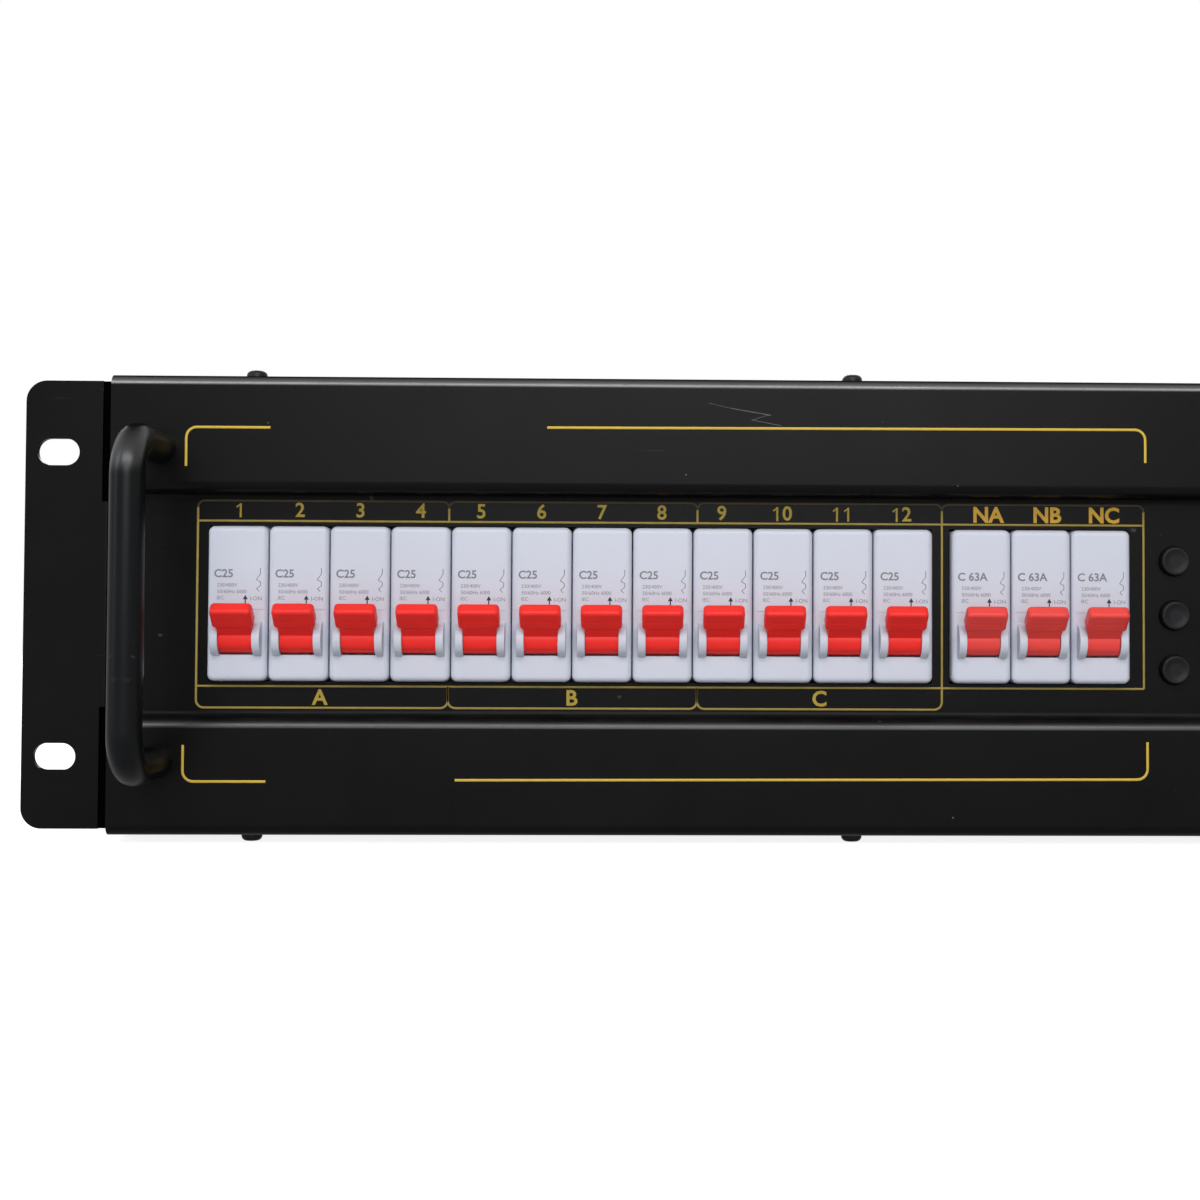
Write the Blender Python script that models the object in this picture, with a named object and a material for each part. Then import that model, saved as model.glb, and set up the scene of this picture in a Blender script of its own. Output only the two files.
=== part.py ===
"""Rack-mount stage dimmer: a folded front panel of channel breakers on its 19-inch case.

Metres, +Z up, the front facing -Y. Pieces are drawn in the rack frame: x = 0 at the middle of the
panel, y = 0 on the rear face of the rack ears and z = 0 at half the panel's height.
"""

from math import cos, pi, radians, sin, tan

import bmesh
import bpy
from mathutils import Matrix, Vector

# Clearances
FIT = 0.0003
PASS = 0.0006
OVERRUN = 0.001

# Rack ears
RACK_SPAN = 0.4841
EAR_REACH = 0.02805
SLOT_INSET = 0.00955
SLOT_ROWS = 0.0889
SLOT_LENGTH = 0.0122
SLOT_HEIGHT = 0.0078
EAR_HEIGHT = 0.1308
EAR_SHEET = 0.002
EAR_BEND = 0.0045
EAR_CORNER = 0.006
EAR_LEG_DEPTH = 0.035
EAR_LEG_CHAMFER = 0.008

# Folded front panel
PANEL_OVERLAP = 0.0002
PANEL_HEIGHT = 0.132
PANEL_SHEET = 0.0015
PANEL_BEND = 0.0022
BAND_REACH = 0.01385
PLATE_REACH = 0.0036
RECESS_HEIGHT = 0.0648
RETURN_REAR = 0.011

# Pan-head screws through the panel's returns
SCREW_HEAD_RADIUS = 0.003
SCREW_HEAD_HEIGHT = 0.0024
SCREW_SINK = 0.0004
SCREW_SETBACK = 0.004
SCREW_SPACING = 0.1745

# Breaker modules
MODULE_PITCH = 0.0176
CHANNEL_COUNT = 12
GROUP_SIZE = 4
MAIN_COUNT = 3
CHANNELS_LEFT = -0.1875
MAINS_LEFT = 0.0291
FACE_REACH = 0.0074
FACE_RISE = 0.00035
NOSE_HEIGHT = 0.045
NOSE_DEPTH = 0.0175
NOSE_CORNER = 0.0012
NOSE_CHAMFER = 0.0005
HOUSING_HEIGHT = 0.081
HOUSING_DEPTH = 0.05
SEAT_DEPTH = 0.0605
CLAW_DEPTH = 0.005
CLAW_HEIGHT = 0.0085
CLAW_LIP = 0.0015
TERMINAL_HOLE_RADIUS = 0.0028
TERMINAL_HOLE_DEPTH = 0.009
TERMINAL_HOLE_INSET = 0.0065
ENTRY_WIDTH = 0.0075
ENTRY_THICKNESS = 0.006
ENTRY_DEPTH = 0.011
ENTRY_SETBACK = 0.03

# Breaker levers, drawn at their hinge
LEVER_DROP = 0.01015
LEVER_SETBACK = 0.001
LEVER_ON = 40.0
BARREL_RADIUS = 0.0042
BARREL_WIDTH = 0.0097
CHEEK_RADIUS = 0.0052
CHEEK_SPAN = 0.0144
PIN_RADIUS = 0.0012
PIN_CLEARANCE = 0.00015
PIN_LENGTH = 0.001
PADDLE_WIDTH = 0.0119
PADDLE_ROOT = 0.0069
PADDLE_TIP = 0.0142
PADDLE_THICKNESS = 0.0044
PADDLE_TIP_THICKNESS = 0.0038
PADDLE_CORNER = 0.0018

# Round-bar handles
HANDLE_INSET = 0.0138
HANDLE_CENTRES = 0.09
HANDLE_BAR_RADIUS = 0.0048
HANDLE_STANDOFF = 0.0323
HANDLE_BEND = 0.011

# Case
CASE_SHEET = 0.0015
CASE_BEND = 0.0025
CASE_DEPTH = 0.358
CASE_FLANGE = 0.012
FRONT_TAB_INSET = 0.014
SIDE_VENT_COUNT = 7
SIDE_VENT_PITCH = 0.014
SIDE_VENT_WIDTH = 0.005
SIDE_VENT_HEIGHT = 0.055
SIDE_VENT_MIDDLE = 0.225
COVER_LIP = 0.012
COVER_VENT_ROWS = 2
COVER_VENT_COUNT = 9
COVER_VENT_PITCH = 0.016
COVER_VENT_WIDTH = 0.006
COVER_VENT_LENGTH = 0.06
COVER_VENT_ROW_PITCH = 0.078
FOOT_INSET = 0.034
FOOT_SETBACK = 0.33
FOOT_RADIUS = 0.0085
FOOT_TIP_RADIUS = 0.0072
FOOT_SINK = 0.0004

# Rail behind the breakers
RAIL_WIDTH = 0.035
RAIL_HAT = 0.025
RAIL_DEPTH = 0.0075
RAIL_SHEET = 0.001
RAIL_OVERHANG = 0.008
RAIL_FOOT_WIDTH = 0.016
RAIL_FOOT_SHEET = 0.002
RAIL_FOOT_DEPTH = 0.018

# Comb busbars
BUSBAR_HEIGHT = 0.011
BUSBAR_THICKNESS = 0.003
BUSBAR_LIFT = 0.003
TOOTH_WIDTH = 0.005
TOOTH_THICKNESS = 0.0018
TOOTH_REACH = 0.008

# Push buttons and the board behind them
BUTTON_X = 0.0955
BUTTON_TOP = 0.014
BUTTON_COUNT = 3
BUTTON_PITCH = 0.016
BUTTON_RADIUS = 0.0042
BUTTON_PROUD = 0.0026
BUTTON_COLLAR = 0.0056
BUTTON_COLLAR_THICKNESS = 0.001
BUTTON_CROWN = 0.0006
BUTTON_TRAVEL = 0.0012
BOARD_LEFT = 0.084
BOARD_SIDE_GAP = 0.0205
BOARD_HEIGHT = 0.056
BOARD_THICKNESS = 0.0016
BOARD_SETBACK = 0.008
SWITCH_SIZE = 0.0062
SWITCH_STEM = 0.0034
PILLAR_RADIUS = 0.0025
PILLAR_INSET = 0.004
LED_COUNT = 4
LED_X = 0.117
LED_Z = -0.013
LED_PITCH = 0.012
LED_RADIUS = 0.0015
LED_PROUD = 0.0012
HEADER_WIDTH = 0.026
HEADER_HEIGHT = 0.009
HEADER_DEPTH = 0.009

# Display
DISPLAY_X = 0.135
DISPLAY_Z = 0.009
DISPLAY_WIDTH = 0.044
DISPLAY_HEIGHT = 0.018
DISPLAY_PROUD = 0.0008
DISPLAY_RIM = 0.002

# Heatsink and the power modules on it
HEATSINK_X = -0.045
HEATSINK_WIDTH = 0.21
HEATSINK_FRONT = 0.15
HEATSINK_LENGTH = 0.15
HEATSINK_HEIGHT = 0.05
HEATSINK_BASE = 0.008
FIN_COUNT = 15
FIN_THICKNESS = 0.003
FIN_TAPER = 0.001
POWER_PITCH = 0.068
POWER_WIDTH = 0.056
POWER_LENGTH = 0.11
POWER_HEIGHT = 0.028
POWER_FOOT = 0.0035
POWER_STEP = 0.011
POWER_TERMINALS = 4
POWER_TERMINAL_GAP = 0.004

# Choke banks
CHOKE_FRONT = 0.124
CHOKE_BANK_PITCH = 0.0885
CHOKE_PLATE = 0.086
CHOKE_PLATE_SHEET = 0.002
CHOKE_PITCH = 0.042
CHOKE_RADIUS = 0.02
CHOKE_CORE = 0.0085
CHOKE_SINK = 0.0004
CHOKE_POTTING = 0.006

# Fan
FAN_SIZE = 0.08
FAN_DEPTH = 0.025
FAN_BORE = 0.038
FAN_CORNER = 0.005
FAN_HUB = 0.0155
FAN_HUB_DEPTH = 0.017
FAN_BACK = 0.003
FAN_STRUT = 0.006
FAN_BLADES = 7
BLADE_TIP = 0.0365
BLADE_CHORD = 0.017
BLADE_THICKNESS = 0.0014
BLADE_ROOT_ANGLE = 48.0
BLADE_TIP_ANGLE = 30.0
FAN_HOLE_PITCH = 0.0715
FAN_HOLE_RADIUS = 0.0022
GRILLE_RINGS = 3
GRILLE_ARCS = 4
GRILLE_FIRST = 0.013
GRILLE_PITCH = 0.0095
GRILLE_SLOT = 0.006
GRILLE_BRIDGE = 0.005

# Rear connections
OUTPUT_POLES = 24
OUTPUT_PITCH = 0.007
OUTPUT_Z = -0.034
OUTPUT_HEIGHT = 0.022
OUTPUT_DEPTH = 0.016
OUTPUT_PROUD = 0.006
OUTPUT_BARRIER = 0.0015
OUTPUT_POCKET = 0.007
OUTPUT_FLANGE = 0.004
GLAND_INSET = 0.028
GLAND_Z = -0.02
GLAND_THREAD = 0.0158
GLAND_BORE = 0.0085
GLAND_HEX = 0.0205
GLAND_HEX_DEPTH = 0.007
GLAND_DOME_DEPTH = 0.014
GLAND_NUT_DEPTH = 0.006
GLAND_DOME_TIP = 0.0125
MAINS_POLES = 5
MAINS_PITCH = 0.012
MAINS_FRONT = 0.25
MAINS_WIDTH = 0.028
MAINS_HEIGHT = 0.032
MAINS_HOLE = 0.0025
MAINS_HOLE_DEPTH = 0.012
SOCKET_GAP = 0.045
SOCKET_Z = 0.03
SOCKET_PITCH = 0.036
SOCKET_RADIUS = 0.0118
SOCKET_MOUTH = 0.0088
SOCKET_MOUTH_DEPTH = 0.014
SOCKET_FLANGE_WIDTH = 0.026
SOCKET_FLANGE_HEIGHT = 0.031
SOCKET_FLANGE_DEPTH = 0.002
SOCKET_DEPTH = 0.02
SOCKET_BOARD = 0.0016

# Facets
BEND_STEPS = 3
ROUND_STEPS = 3
SMALL_STEPS = 2
SMALL_SIDES = 8
SCREW_SIDES = 8
CHOKE_SIDES = 10
MEDIUM_SIDES = 12
LARGE_SIDES = 24

# Widths that follow the rack span
CASE_WIDTH = RACK_SPAN - 2 * EAR_REACH
CASE_INSIDE = CASE_WIDTH - 2 * CASE_SHEET
PANEL_WIDTH = CASE_WIDTH + 2 * PANEL_OVERLAP
SLOT_COLUMNS = RACK_SPAN - 2 * SLOT_INSET
HANDLE_SPACING = PANEL_WIDTH - 2 * HANDLE_INSET
TAB_SIDE = CASE_WIDTH / 2 - FRONT_TAB_INSET
FOOT_SIDE = CASE_WIDTH / 2 - FOOT_INSET
BOARD_WIDTH = CASE_INSIDE / 2 - BOARD_SIDE_GAP - BOARD_LEFT
BOARD_X = BOARD_LEFT + BOARD_WIDTH / 2

# The row along the rear, evenly spaced: output strip, fan, chokes and mains block
OUTPUT_LENGTH = OUTPUT_POLES * OUTPUT_PITCH
ROW_SPACE = (CASE_INSIDE - OUTPUT_LENGTH - FAN_SIZE - CHOKE_PLATE - MAINS_WIDTH) / 5
OUTPUT_LEFT = -CASE_INSIDE / 2 + ROW_SPACE
FAN_X = OUTPUT_LEFT + OUTPUT_LENGTH + ROW_SPACE + FAN_SIZE / 2
CHOKE_X = FAN_X + FAN_SIZE / 2 + ROW_SPACE + CHOKE_PLATE / 2
MAINS_X = CASE_INSIDE / 2 - ROW_SPACE - MAINS_WIDTH / 2
GLAND_X = CASE_WIDTH / 2 - GLAND_INSET
SOCKET_X = GLAND_X - SOCKET_GAP - SOCKET_PITCH

# Levels that several pieces share
RETURN_INNER = PANEL_HEIGHT / 2 - PANEL_SHEET
CASE_TOP = RETURN_INNER - FIT
COVER_UNDER = CASE_TOP - CASE_SHEET
FOOT_HEIGHT = PANEL_HEIGHT / 2 + SCREW_HEAD_HEIGHT - CASE_TOP
FLOOR = -CASE_TOP + CASE_SHEET + FIT
TRAY_FRONT = -PLATE_REACH + PANEL_SHEET + FIT
TAB_FRONT = -BAND_REACH + PANEL_BEND
PLATE_REAR = -PLATE_REACH + PANEL_SHEET
REAR_FRONT = CASE_DEPTH + FIT
REAR_BACK = REAR_FRONT + CASE_SHEET
FACE_Y = -FACE_REACH
MODULE_WIDTH = MODULE_PITCH - FIT
RAIL_SEAT = FACE_Y + SEAT_DEPTH + FIT
BOARD_FRONT = PLATE_REAR + BOARD_SETBACK
BOARD_BACK = BOARD_FRONT + BOARD_THICKNESS
HEATSINK_TOP = FLOOR + HEATSINK_HEIGHT
FAN_REAR = REAR_FRONT - FIT
GLAND_REAR = REAR_BACK + FIT + GLAND_HEX_DEPTH + GLAND_DOME_DEPTH
FRONT_EXTENT = BAND_REACH + FIT + HANDLE_STANDOFF + HANDLE_BAR_RADIUS

# Finishes: colour, roughness, metallic value
BLACK_ENAMEL = ((0.022, 0.021, 0.022), 0.42, 0.0)
BLACK_BAR = ((0.016, 0.017, 0.018), 0.28, 0.0)
ZINC = ((0.55, 0.56, 0.58), 0.38, 1.0)
HOUSING_WHITE = ((0.62, 0.65, 0.7), 0.45, 0.0)
LEVER_RED = ((0.75, 0.045, 0.035), 0.4, 0.0)
LEVER_CORAL = ((0.72, 0.1, 0.085), 0.4, 0.0)
BUTTON_BLACK = ((0.02, 0.02, 0.022), 0.5, 0.0)
COPPER = ((0.72, 0.32, 0.18), 0.3, 1.0)
ALUMINIUM = ((0.7, 0.71, 0.72), 0.35, 1.0)
BOARD_GREEN = ((0.02, 0.12, 0.05), 0.5, 0.0)
DISPLAY_DARK = ((0.09, 0.008, 0.008), 0.15, 0.0)
MODULE_BLACK = ((0.035, 0.035, 0.04), 0.5, 0.0)
CHOKE_OCHRE = ((0.42, 0.24, 0.06), 0.55, 0.0)
FAN_BLACK = ((0.025, 0.025, 0.027), 0.45, 0.0)
TERMINAL_GREY = ((0.3, 0.31, 0.32), 0.5, 0.0)
GLAND_GREY = ((0.24, 0.25, 0.26), 0.5, 0.0)


def clear_scene():
    """Remove every object of the scene that the file opened with."""
    for old in list(bpy.context.scene.objects):
        bpy.data.objects.remove(old)


# Outlines

def rectangle(u_span, v_span):
    """The four corners of an upright rectangle."""
    return [(u_span[0], v_span[0]), (u_span[1], v_span[0]), (u_span[1], v_span[1]), (u_span[0], v_span[1])]


def arc(centre, radius, start, end, steps):
    """Points on an arc, both ends included; angles in radians."""
    angles = [start + (end - start) * step / steps for step in range(steps + 1)]
    return [(centre[0] + radius * cos(angle), centre[1] + radius * sin(angle)) for angle in angles]


def circle(centre, radius, sides):
    """A regular polygon with its flats square to the axes."""
    turn = pi / sides
    return arc(centre, radius, turn, turn + 2 * pi, sides)[:-1]


def rounded_rectangle(u_span, v_span, radius, steps=ROUND_STEPS):
    """A rectangle with each corner turned on an arc."""
    corners = [
        (u_span[1] - radius, v_span[1] - radius, 0),
        (u_span[0] + radius, v_span[1] - radius, pi / 2),
        (u_span[0] + radius, v_span[0] + radius, pi),
        (u_span[1] - radius, v_span[0] + radius, 3 * pi / 2),
    ]
    return [point for u, v, start in corners for point in arc((u, v), radius, start, start + pi / 2, steps)]


def oblong(centre, length, height, steps):
    """A slot with round ends, lying along its first coordinate."""
    radius = height / 2
    reach = length / 2 - radius
    right = arc((centre[0] + reach, centre[1]), radius, -pi / 2, pi / 2, steps)
    left = arc((centre[0] - reach, centre[1]), radius, pi / 2, 3 * pi / 2, steps)
    return right + left


def mirrored_profile(upper):
    """A closed profile from its upper half, mirrored about the first axis."""
    return upper + [(u, -v) for u, v in reversed(upper)]


def rounded_line(corners, radius, steps):
    """(point, left normal) along a line through `corners`, each inner corner turned on an arc."""
    points = [Vector(corner) for corner in corners]
    first = (points[1] - points[0]).normalized()
    line = [(points[0], first.orthogonal())]
    for before, corner, after in zip(points, points[1:], points[2:]):
        heading = (corner - before).normalized()
        turn = heading.angle_signed((after - corner).normalized())
        side = heading.orthogonal()
        sign = -1 if turn > 0 else 1
        start = corner - heading * radius * tan(abs(turn) / 2)
        centre = start + side * radius * sign
        for step in range(steps + 1):
            turned_side = Matrix.Rotation(-turn * step / steps, 2) @ side
            line.append((centre - turned_side * radius * sign, turned_side))
    last = (points[-1] - points[-2]).normalized()
    line.append((points[-1], last.orthogonal()))
    return line


def bent_sheet(corners, bend, sheet):
    """The outline of a folded sheet seen on its edge; `bend` is the outside radius of its bends."""
    line = rounded_line(corners, bend - sheet / 2, BEND_STEPS)
    near = [tuple(point + normal * sheet / 2) for point, normal in line]
    far = [tuple(point - normal * sheet / 2) for point, normal in line]
    return near + far[::-1]


# Solids

PLACE = {
    "x": lambda along, u, v: (along, u, v),
    "y": lambda along, u, v: (u, along, v),
    "z": lambda along, u, v: (u, v, along),
}


def new_object(name, shape):
    """A scene object from a bmesh, its faces turned outward."""
    bmesh.ops.recalc_face_normals(shape, faces=shape.faces)
    mesh = bpy.data.meshes.new(name)
    shape.to_mesh(mesh)
    shape.free()
    solid = bpy.data.objects.new(name, mesh)
    bpy.context.scene.collection.objects.link(solid)
    return solid


def prism_shape(outline, span, along):
    """A bmesh of an outline drawn square to one axis and extruded along it."""
    shape = bmesh.new()
    ends = [[shape.verts.new(PLACE[along](place, u, v)) for u, v in outline] for place in span]
    for end in ends:
        shape.faces.new(end)
    for index in range(len(outline)):
        shape.faces.new((ends[0][index - 1], ends[0][index], ends[1][index], ends[1][index - 1]))
    return shape


def prism(name, outline, span, along):
    """A solid made by extruding an outline along "x", "y" or "z"."""
    return new_object(name, prism_shape(outline, span, along))


def box(name, x_span, y_span, z_span):
    """A plain block between three pairs of faces."""
    return prism(name, rectangle(y_span, z_span), x_span, "x")


def around(middle, size):
    """The two ends of a length centred on `middle`."""
    return (middle - size / 2, middle + size / 2)


def turned(name, profile, centre, along, sides):
    """A solid of revolution; `profile` holds (radius, place along the axis) from axis to axis."""
    shape = bmesh.new()
    axis = Vector(PLACE[along](1, 0, 0))
    middle = Vector(centre)
    outward = Matrix.Rotation(pi / sides, 3, axis) @ Vector(PLACE[along](0, 1, 0))
    rim = [shape.verts.new(middle + outward * radius + axis * place) for radius, place in profile]
    edges = [shape.edges.new(pair) for pair in zip(rim, rim[1:])]
    bmesh.ops.spin(
        shape, geom=rim + edges, cent=middle, axis=axis, angle=2 * pi, steps=sides, use_merge=True
    )
    bmesh.ops.remove_doubles(shape, verts=shape.verts, dist=FIT / 100)
    return new_object(name, shape)


def combine(solid, tools, operation):
    """Apply exact Booleans of `tools` to `solid`, keep the result as its mesh and drop the tools."""
    for tool in tools:
        tool.hide_render = True
        tool.display_type = "WIRE"
        modifier = solid.modifiers.new(tool.name, "BOOLEAN")
        modifier.operation = operation
        modifier.solver = "EXACT"
        modifier.object = tool
    graph = bpy.context.evaluated_depsgraph_get()
    solid.data = bpy.data.meshes.new_from_object(solid.evaluated_get(graph))
    solid.modifiers.clear()
    for tool in tools:
        bpy.data.objects.remove(tool)
    return solid


def cut(solid, tools):
    """Take the tools away from the solid."""
    return combine(solid, tools, "DIFFERENCE")


def fuse(solid, tools):
    """Join the tools to the solid as one body."""
    return combine(solid, tools, "UNION")


def finish(solid, look, name=None):
    """Give a piece its material and shade its round faces smooth."""
    title = name or solid.name
    material = bpy.data.materials.get(title) or bpy.data.materials.new(title)
    material.use_nodes = True
    shader = material.node_tree.nodes["Principled BSDF"]
    colour, roughness, metallic = look
    shader.inputs["Base Color"].default_value = (*colour, 1.0)
    shader.inputs["Roughness"].default_value = roughness
    shader.inputs["Metallic"].default_value = metallic
    solid.data.materials.clear()
    solid.data.materials.append(material)
    if solid.type == "MESH":
        solid.data.shade_smooth()
        solid.data.set_sharp_from_angle(angle=radians(35))
    return solid


def copies(pattern, names, places, frame):
    """One object for each name, all with the pattern's mesh, each at its own place."""
    for name, place in zip(names, places):
        copy = bpy.data.objects.new(name, pattern.data)
        bpy.context.scene.collection.objects.link(copy)
        copy.location = place
        copy.parent = frame
    bpy.data.objects.remove(pattern)


# Front panel, ears and handles

def screw_head(name, place, upward):
    """A pan head standing on a level face, with its seat sunk a little into the sheet."""
    radius = SCREW_HEAD_RADIUS
    height = SCREW_HEAD_HEIGHT
    profile = [(0, -SCREW_SINK), (radius, -SCREW_SINK), (radius, height * 0.45), (radius * 0.72, height * 0.88)]
    profile.append((0, height))
    stood = [(r, z * upward) for r, z in profile]
    return turned(name, stood, place, "z", SCREW_SIDES)


def module_window(name, left, count):
    """The cutter for the opening round a row of breaker noses."""
    x_span = (left - FIT, left + count * MODULE_PITCH)
    z_span = (FACE_RISE - NOSE_HEIGHT / 2 - FIT, FACE_RISE + NOSE_HEIGHT / 2 + FIT)
    return box(name, x_span, (-PLATE_REACH - OVERRUN, PLATE_REAR + OVERRUN), z_span)


def button_heights():
    """The height of each push button, from the top one down."""
    return [BUTTON_TOP - BUTTON_PITCH * index for index in range(BUTTON_COUNT)]


def led_places():
    """The place of each indicator lamp across the panel."""
    return [LED_X + LED_PITCH * index for index in range(LED_COUNT)]


def panel_openings():
    """The cutters for everything that shows through the plate."""
    through = (-PLATE_REACH - OVERRUN, PLATE_REAR + OVERRUN)
    tools = [
        module_window("channel_window", CHANNELS_LEFT, CHANNEL_COUNT),
        module_window("main_window", MAINS_LEFT, MAIN_COUNT),
    ]
    for z in button_heights():
        hole = circle((BUTTON_X, z), BUTTON_RADIUS + FIT, MEDIUM_SIDES)
        tools.append(prism("button_hole", hole, through, "y"))
    for x in led_places():
        hole = circle((x, LED_Z), LED_RADIUS + FIT, SMALL_SIDES)
        tools.append(prism("led_hole", hole, through, "y"))
    x_span = around(DISPLAY_X, DISPLAY_WIDTH + 2 * FIT)
    z_span = around(DISPLAY_Z, DISPLAY_HEIGHT + 2 * FIT)
    tools.append(box("display_hole", x_span, through, z_span))
    return tools


def front_panel():
    """One sheet folded into two proud bands, a recessed plate and two returns round the case."""
    returns = PANEL_HEIGHT / 2 - PANEL_SHEET / 2
    band = -BAND_REACH + PANEL_SHEET / 2
    plate = -PLATE_REACH + PANEL_SHEET / 2
    wall = RECESS_HEIGHT / 2 + PANEL_SHEET / 2
    upper = [(RETURN_REAR, returns), (band, returns), (band, wall), (plate, wall)]
    outline = bent_sheet(mirrored_profile(upper), PANEL_BEND, PANEL_SHEET)
    panel = prism("front_panel", outline, around(0, PANEL_WIDTH), "x")
    cut(panel, panel_openings())
    heads = [
        screw_head("head", (x, -SCREW_SETBACK, side * PANEL_HEIGHT / 2), side)
        for x in (-SCREW_SPACING, 0, SCREW_SPACING)
        for side in (-1, 1)
    ]
    return finish(fuse(panel, heads), BLACK_ENAMEL)


def rack_ear(name, side):
    """A folded bracket on the side of the case, with two oblong slots; side is -1 left or 1 right."""
    outer = RACK_SPAN / 2
    leg = CASE_WIDTH / 2 + FIT + EAR_SHEET / 2
    flange = -EAR_SHEET / 2
    line = [(side * outer, flange), (side * leg, flange), (side * leg, EAR_LEG_DEPTH)]
    shape = prism_shape(bent_sheet(line, EAR_BEND, EAR_SHEET), around(0, EAR_HEIGHT), "z")
    tips = [edge for edge in shape.edges if all(abs(v.co.x - side * outer) < FIT for v in edge.verts)]
    tips = [edge for edge in tips if abs(edge.verts[0].co.z - edge.verts[1].co.z) < FIT]
    bmesh.ops.bevel(shape, geom=tips, offset=EAR_CORNER, segments=ROUND_STEPS + 1, profile=0.5, affect="EDGES")
    rears = [edge for edge in shape.edges if all(abs(v.co.y - EAR_LEG_DEPTH) < FIT for v in edge.verts)]
    rears = [edge for edge in rears if abs(edge.verts[0].co.z - edge.verts[1].co.z) < FIT]
    bmesh.ops.bevel(shape, geom=rears, offset=EAR_LEG_CHAMFER, segments=1, affect="EDGES")
    ear = new_object(name, shape)
    slots = []
    for z in around(0, SLOT_ROWS):
        outline = oblong((side * SLOT_COLUMNS / 2, z), SLOT_LENGTH, SLOT_HEIGHT, ROUND_STEPS + 1)
        slots.append(prism("slot", outline, (-EAR_SHEET - OVERRUN, OVERRUN), "y"))
    return finish(cut(ear, slots), BLACK_ENAMEL)


def handle(name, side):
    """A round bar bent twice, its ends on the two bands."""
    seat = -BAND_REACH - FIT
    bar = seat - HANDLE_STANDOFF
    reach = HANDLE_CENTRES / 2
    corners = [(seat, reach), (bar, reach), (bar, -reach), (seat, -reach)]
    line = rounded_line(corners, HANDLE_BEND, ROUND_STEPS + 2)
    path = bpy.data.curves.new(name, "CURVE")
    path.dimensions = "3D"
    path.bevel_depth = HANDLE_BAR_RADIUS
    path.bevel_resolution = 4
    path.use_fill_caps = True
    spline = path.splines.new("POLY")
    spline.points.add(len(line) - 1)
    for knot, (point, _) in zip(spline.points, line):
        knot.co = (side * HANDLE_SPACING / 2, point.x, point.y, 1)
    bar_object = bpy.data.objects.new(name, path)
    bpy.context.scene.collection.objects.link(bar_object)
    return finish(bar_object, BLACK_BAR)


# Case

def foot(x):
    """A round foot under the tray's rear, level with the screw heads under the front panel."""
    profile = [(0, FOOT_SINK), (FOOT_RADIUS, FOOT_SINK), (FOOT_TIP_RADIUS, -FOOT_HEIGHT), (0, -FOOT_HEIGHT)]
    return turned("foot", profile, (x, FOOT_SETBACK, -CASE_TOP), "z", MEDIUM_SIDES)


def chassis_tray():
    """The floor and sides of the case in one sheet, with a front tab under the panel's return."""
    side = CASE_WIDTH / 2 - CASE_SHEET / 2
    floor = -CASE_TOP + CASE_SHEET / 2
    rim = COVER_UNDER - FIT - CASE_SHEET / 2
    right = [(side, floor), (side, rim), (side - CASE_FLANGE, rim)]
    left = [(-x, z) for x, z in reversed(right)]
    tray = prism("chassis_tray", bent_sheet(left + right, CASE_BEND, CASE_SHEET), (TRAY_FRONT, CASE_DEPTH), "y")
    first = SIDE_VENT_MIDDLE - SIDE_VENT_PITCH * (SIDE_VENT_COUNT - 1) / 2
    vents = []
    for index in range(SIDE_VENT_COUNT):
        y_span = around(first + SIDE_VENT_PITCH * index, SIDE_VENT_WIDTH)
        vents.append(box("vent", around(0, CASE_WIDTH + OVERRUN), y_span, around(0, SIDE_VENT_HEIGHT)))
    cut(tray, vents)
    tab = box("tab", (-TAB_SIDE, TAB_SIDE), (TAB_FRONT, TRAY_FRONT + OVERRUN), (-CASE_TOP, -CASE_TOP + CASE_SHEET))
    return finish(fuse(tray, [tab] + [foot(side * FOOT_SIDE) for side in (-1, 1)]), BLACK_ENAMEL)


def top_cover():
    """The lid: a sheet with two rows of vents, its rear edge folded down over the rear panel."""
    level = CASE_TOP - CASE_SHEET / 2
    lip = REAR_BACK + FIT + CASE_SHEET / 2
    line = [(TRAY_FRONT, level), (lip, level), (lip, level - COVER_LIP)]
    cover = prism("top_cover", bent_sheet(line, CASE_BEND, CASE_SHEET), around(0, CASE_WIDTH), "x")
    middle = HEATSINK_FRONT + HEATSINK_LENGTH / 2
    first = HEATSINK_X - COVER_VENT_PITCH * (COVER_VENT_COUNT - 1) / 2
    z_span = (COVER_UNDER - OVERRUN, CASE_TOP + OVERRUN)
    vents = []
    for row in range(COVER_VENT_ROWS):
        y = middle + COVER_VENT_ROW_PITCH * (row - (COVER_VENT_ROWS - 1) / 2)
        for index in range(COVER_VENT_COUNT):
            x = first + COVER_VENT_PITCH * index
            vents.append(box("vent", around(x, COVER_VENT_WIDTH), around(y, COVER_VENT_LENGTH), z_span))
    cut(cover, vents)
    tab = box("tab", (-TAB_SIDE, TAB_SIDE), (TAB_FRONT, TRAY_FRONT + OVERRUN), (COVER_UNDER, CASE_TOP))
    return finish(fuse(cover, [tab]), BLACK_ENAMEL)


def grille_arc(ring, index):
    """One curved slot of the pressed fan grille, as an outline about the fan's axis."""
    middle = GRILLE_FIRST + GRILLE_PITCH * ring
    bridge = GRILLE_BRIDGE / (2 * middle)
    start = 2 * pi * index / GRILLE_ARCS + bridge
    end = 2 * pi * (index + 1) / GRILLE_ARCS - bridge
    steps = SMALL_STEPS + ring
    outer = arc((FAN_X, 0), middle + GRILLE_SLOT / 2, start, end, steps)
    inner = arc((FAN_X, 0), middle - GRILLE_SLOT / 2, end, start, steps)
    return outer + inner


def output_span():
    """The two ends of the output strip across the rear panel."""
    return (OUTPUT_LEFT, OUTPUT_LEFT + OUTPUT_LENGTH)


def socket_places():
    """The middle of each signal socket across the rear panel."""
    return [SOCKET_X, SOCKET_X + SOCKET_PITCH]


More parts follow.
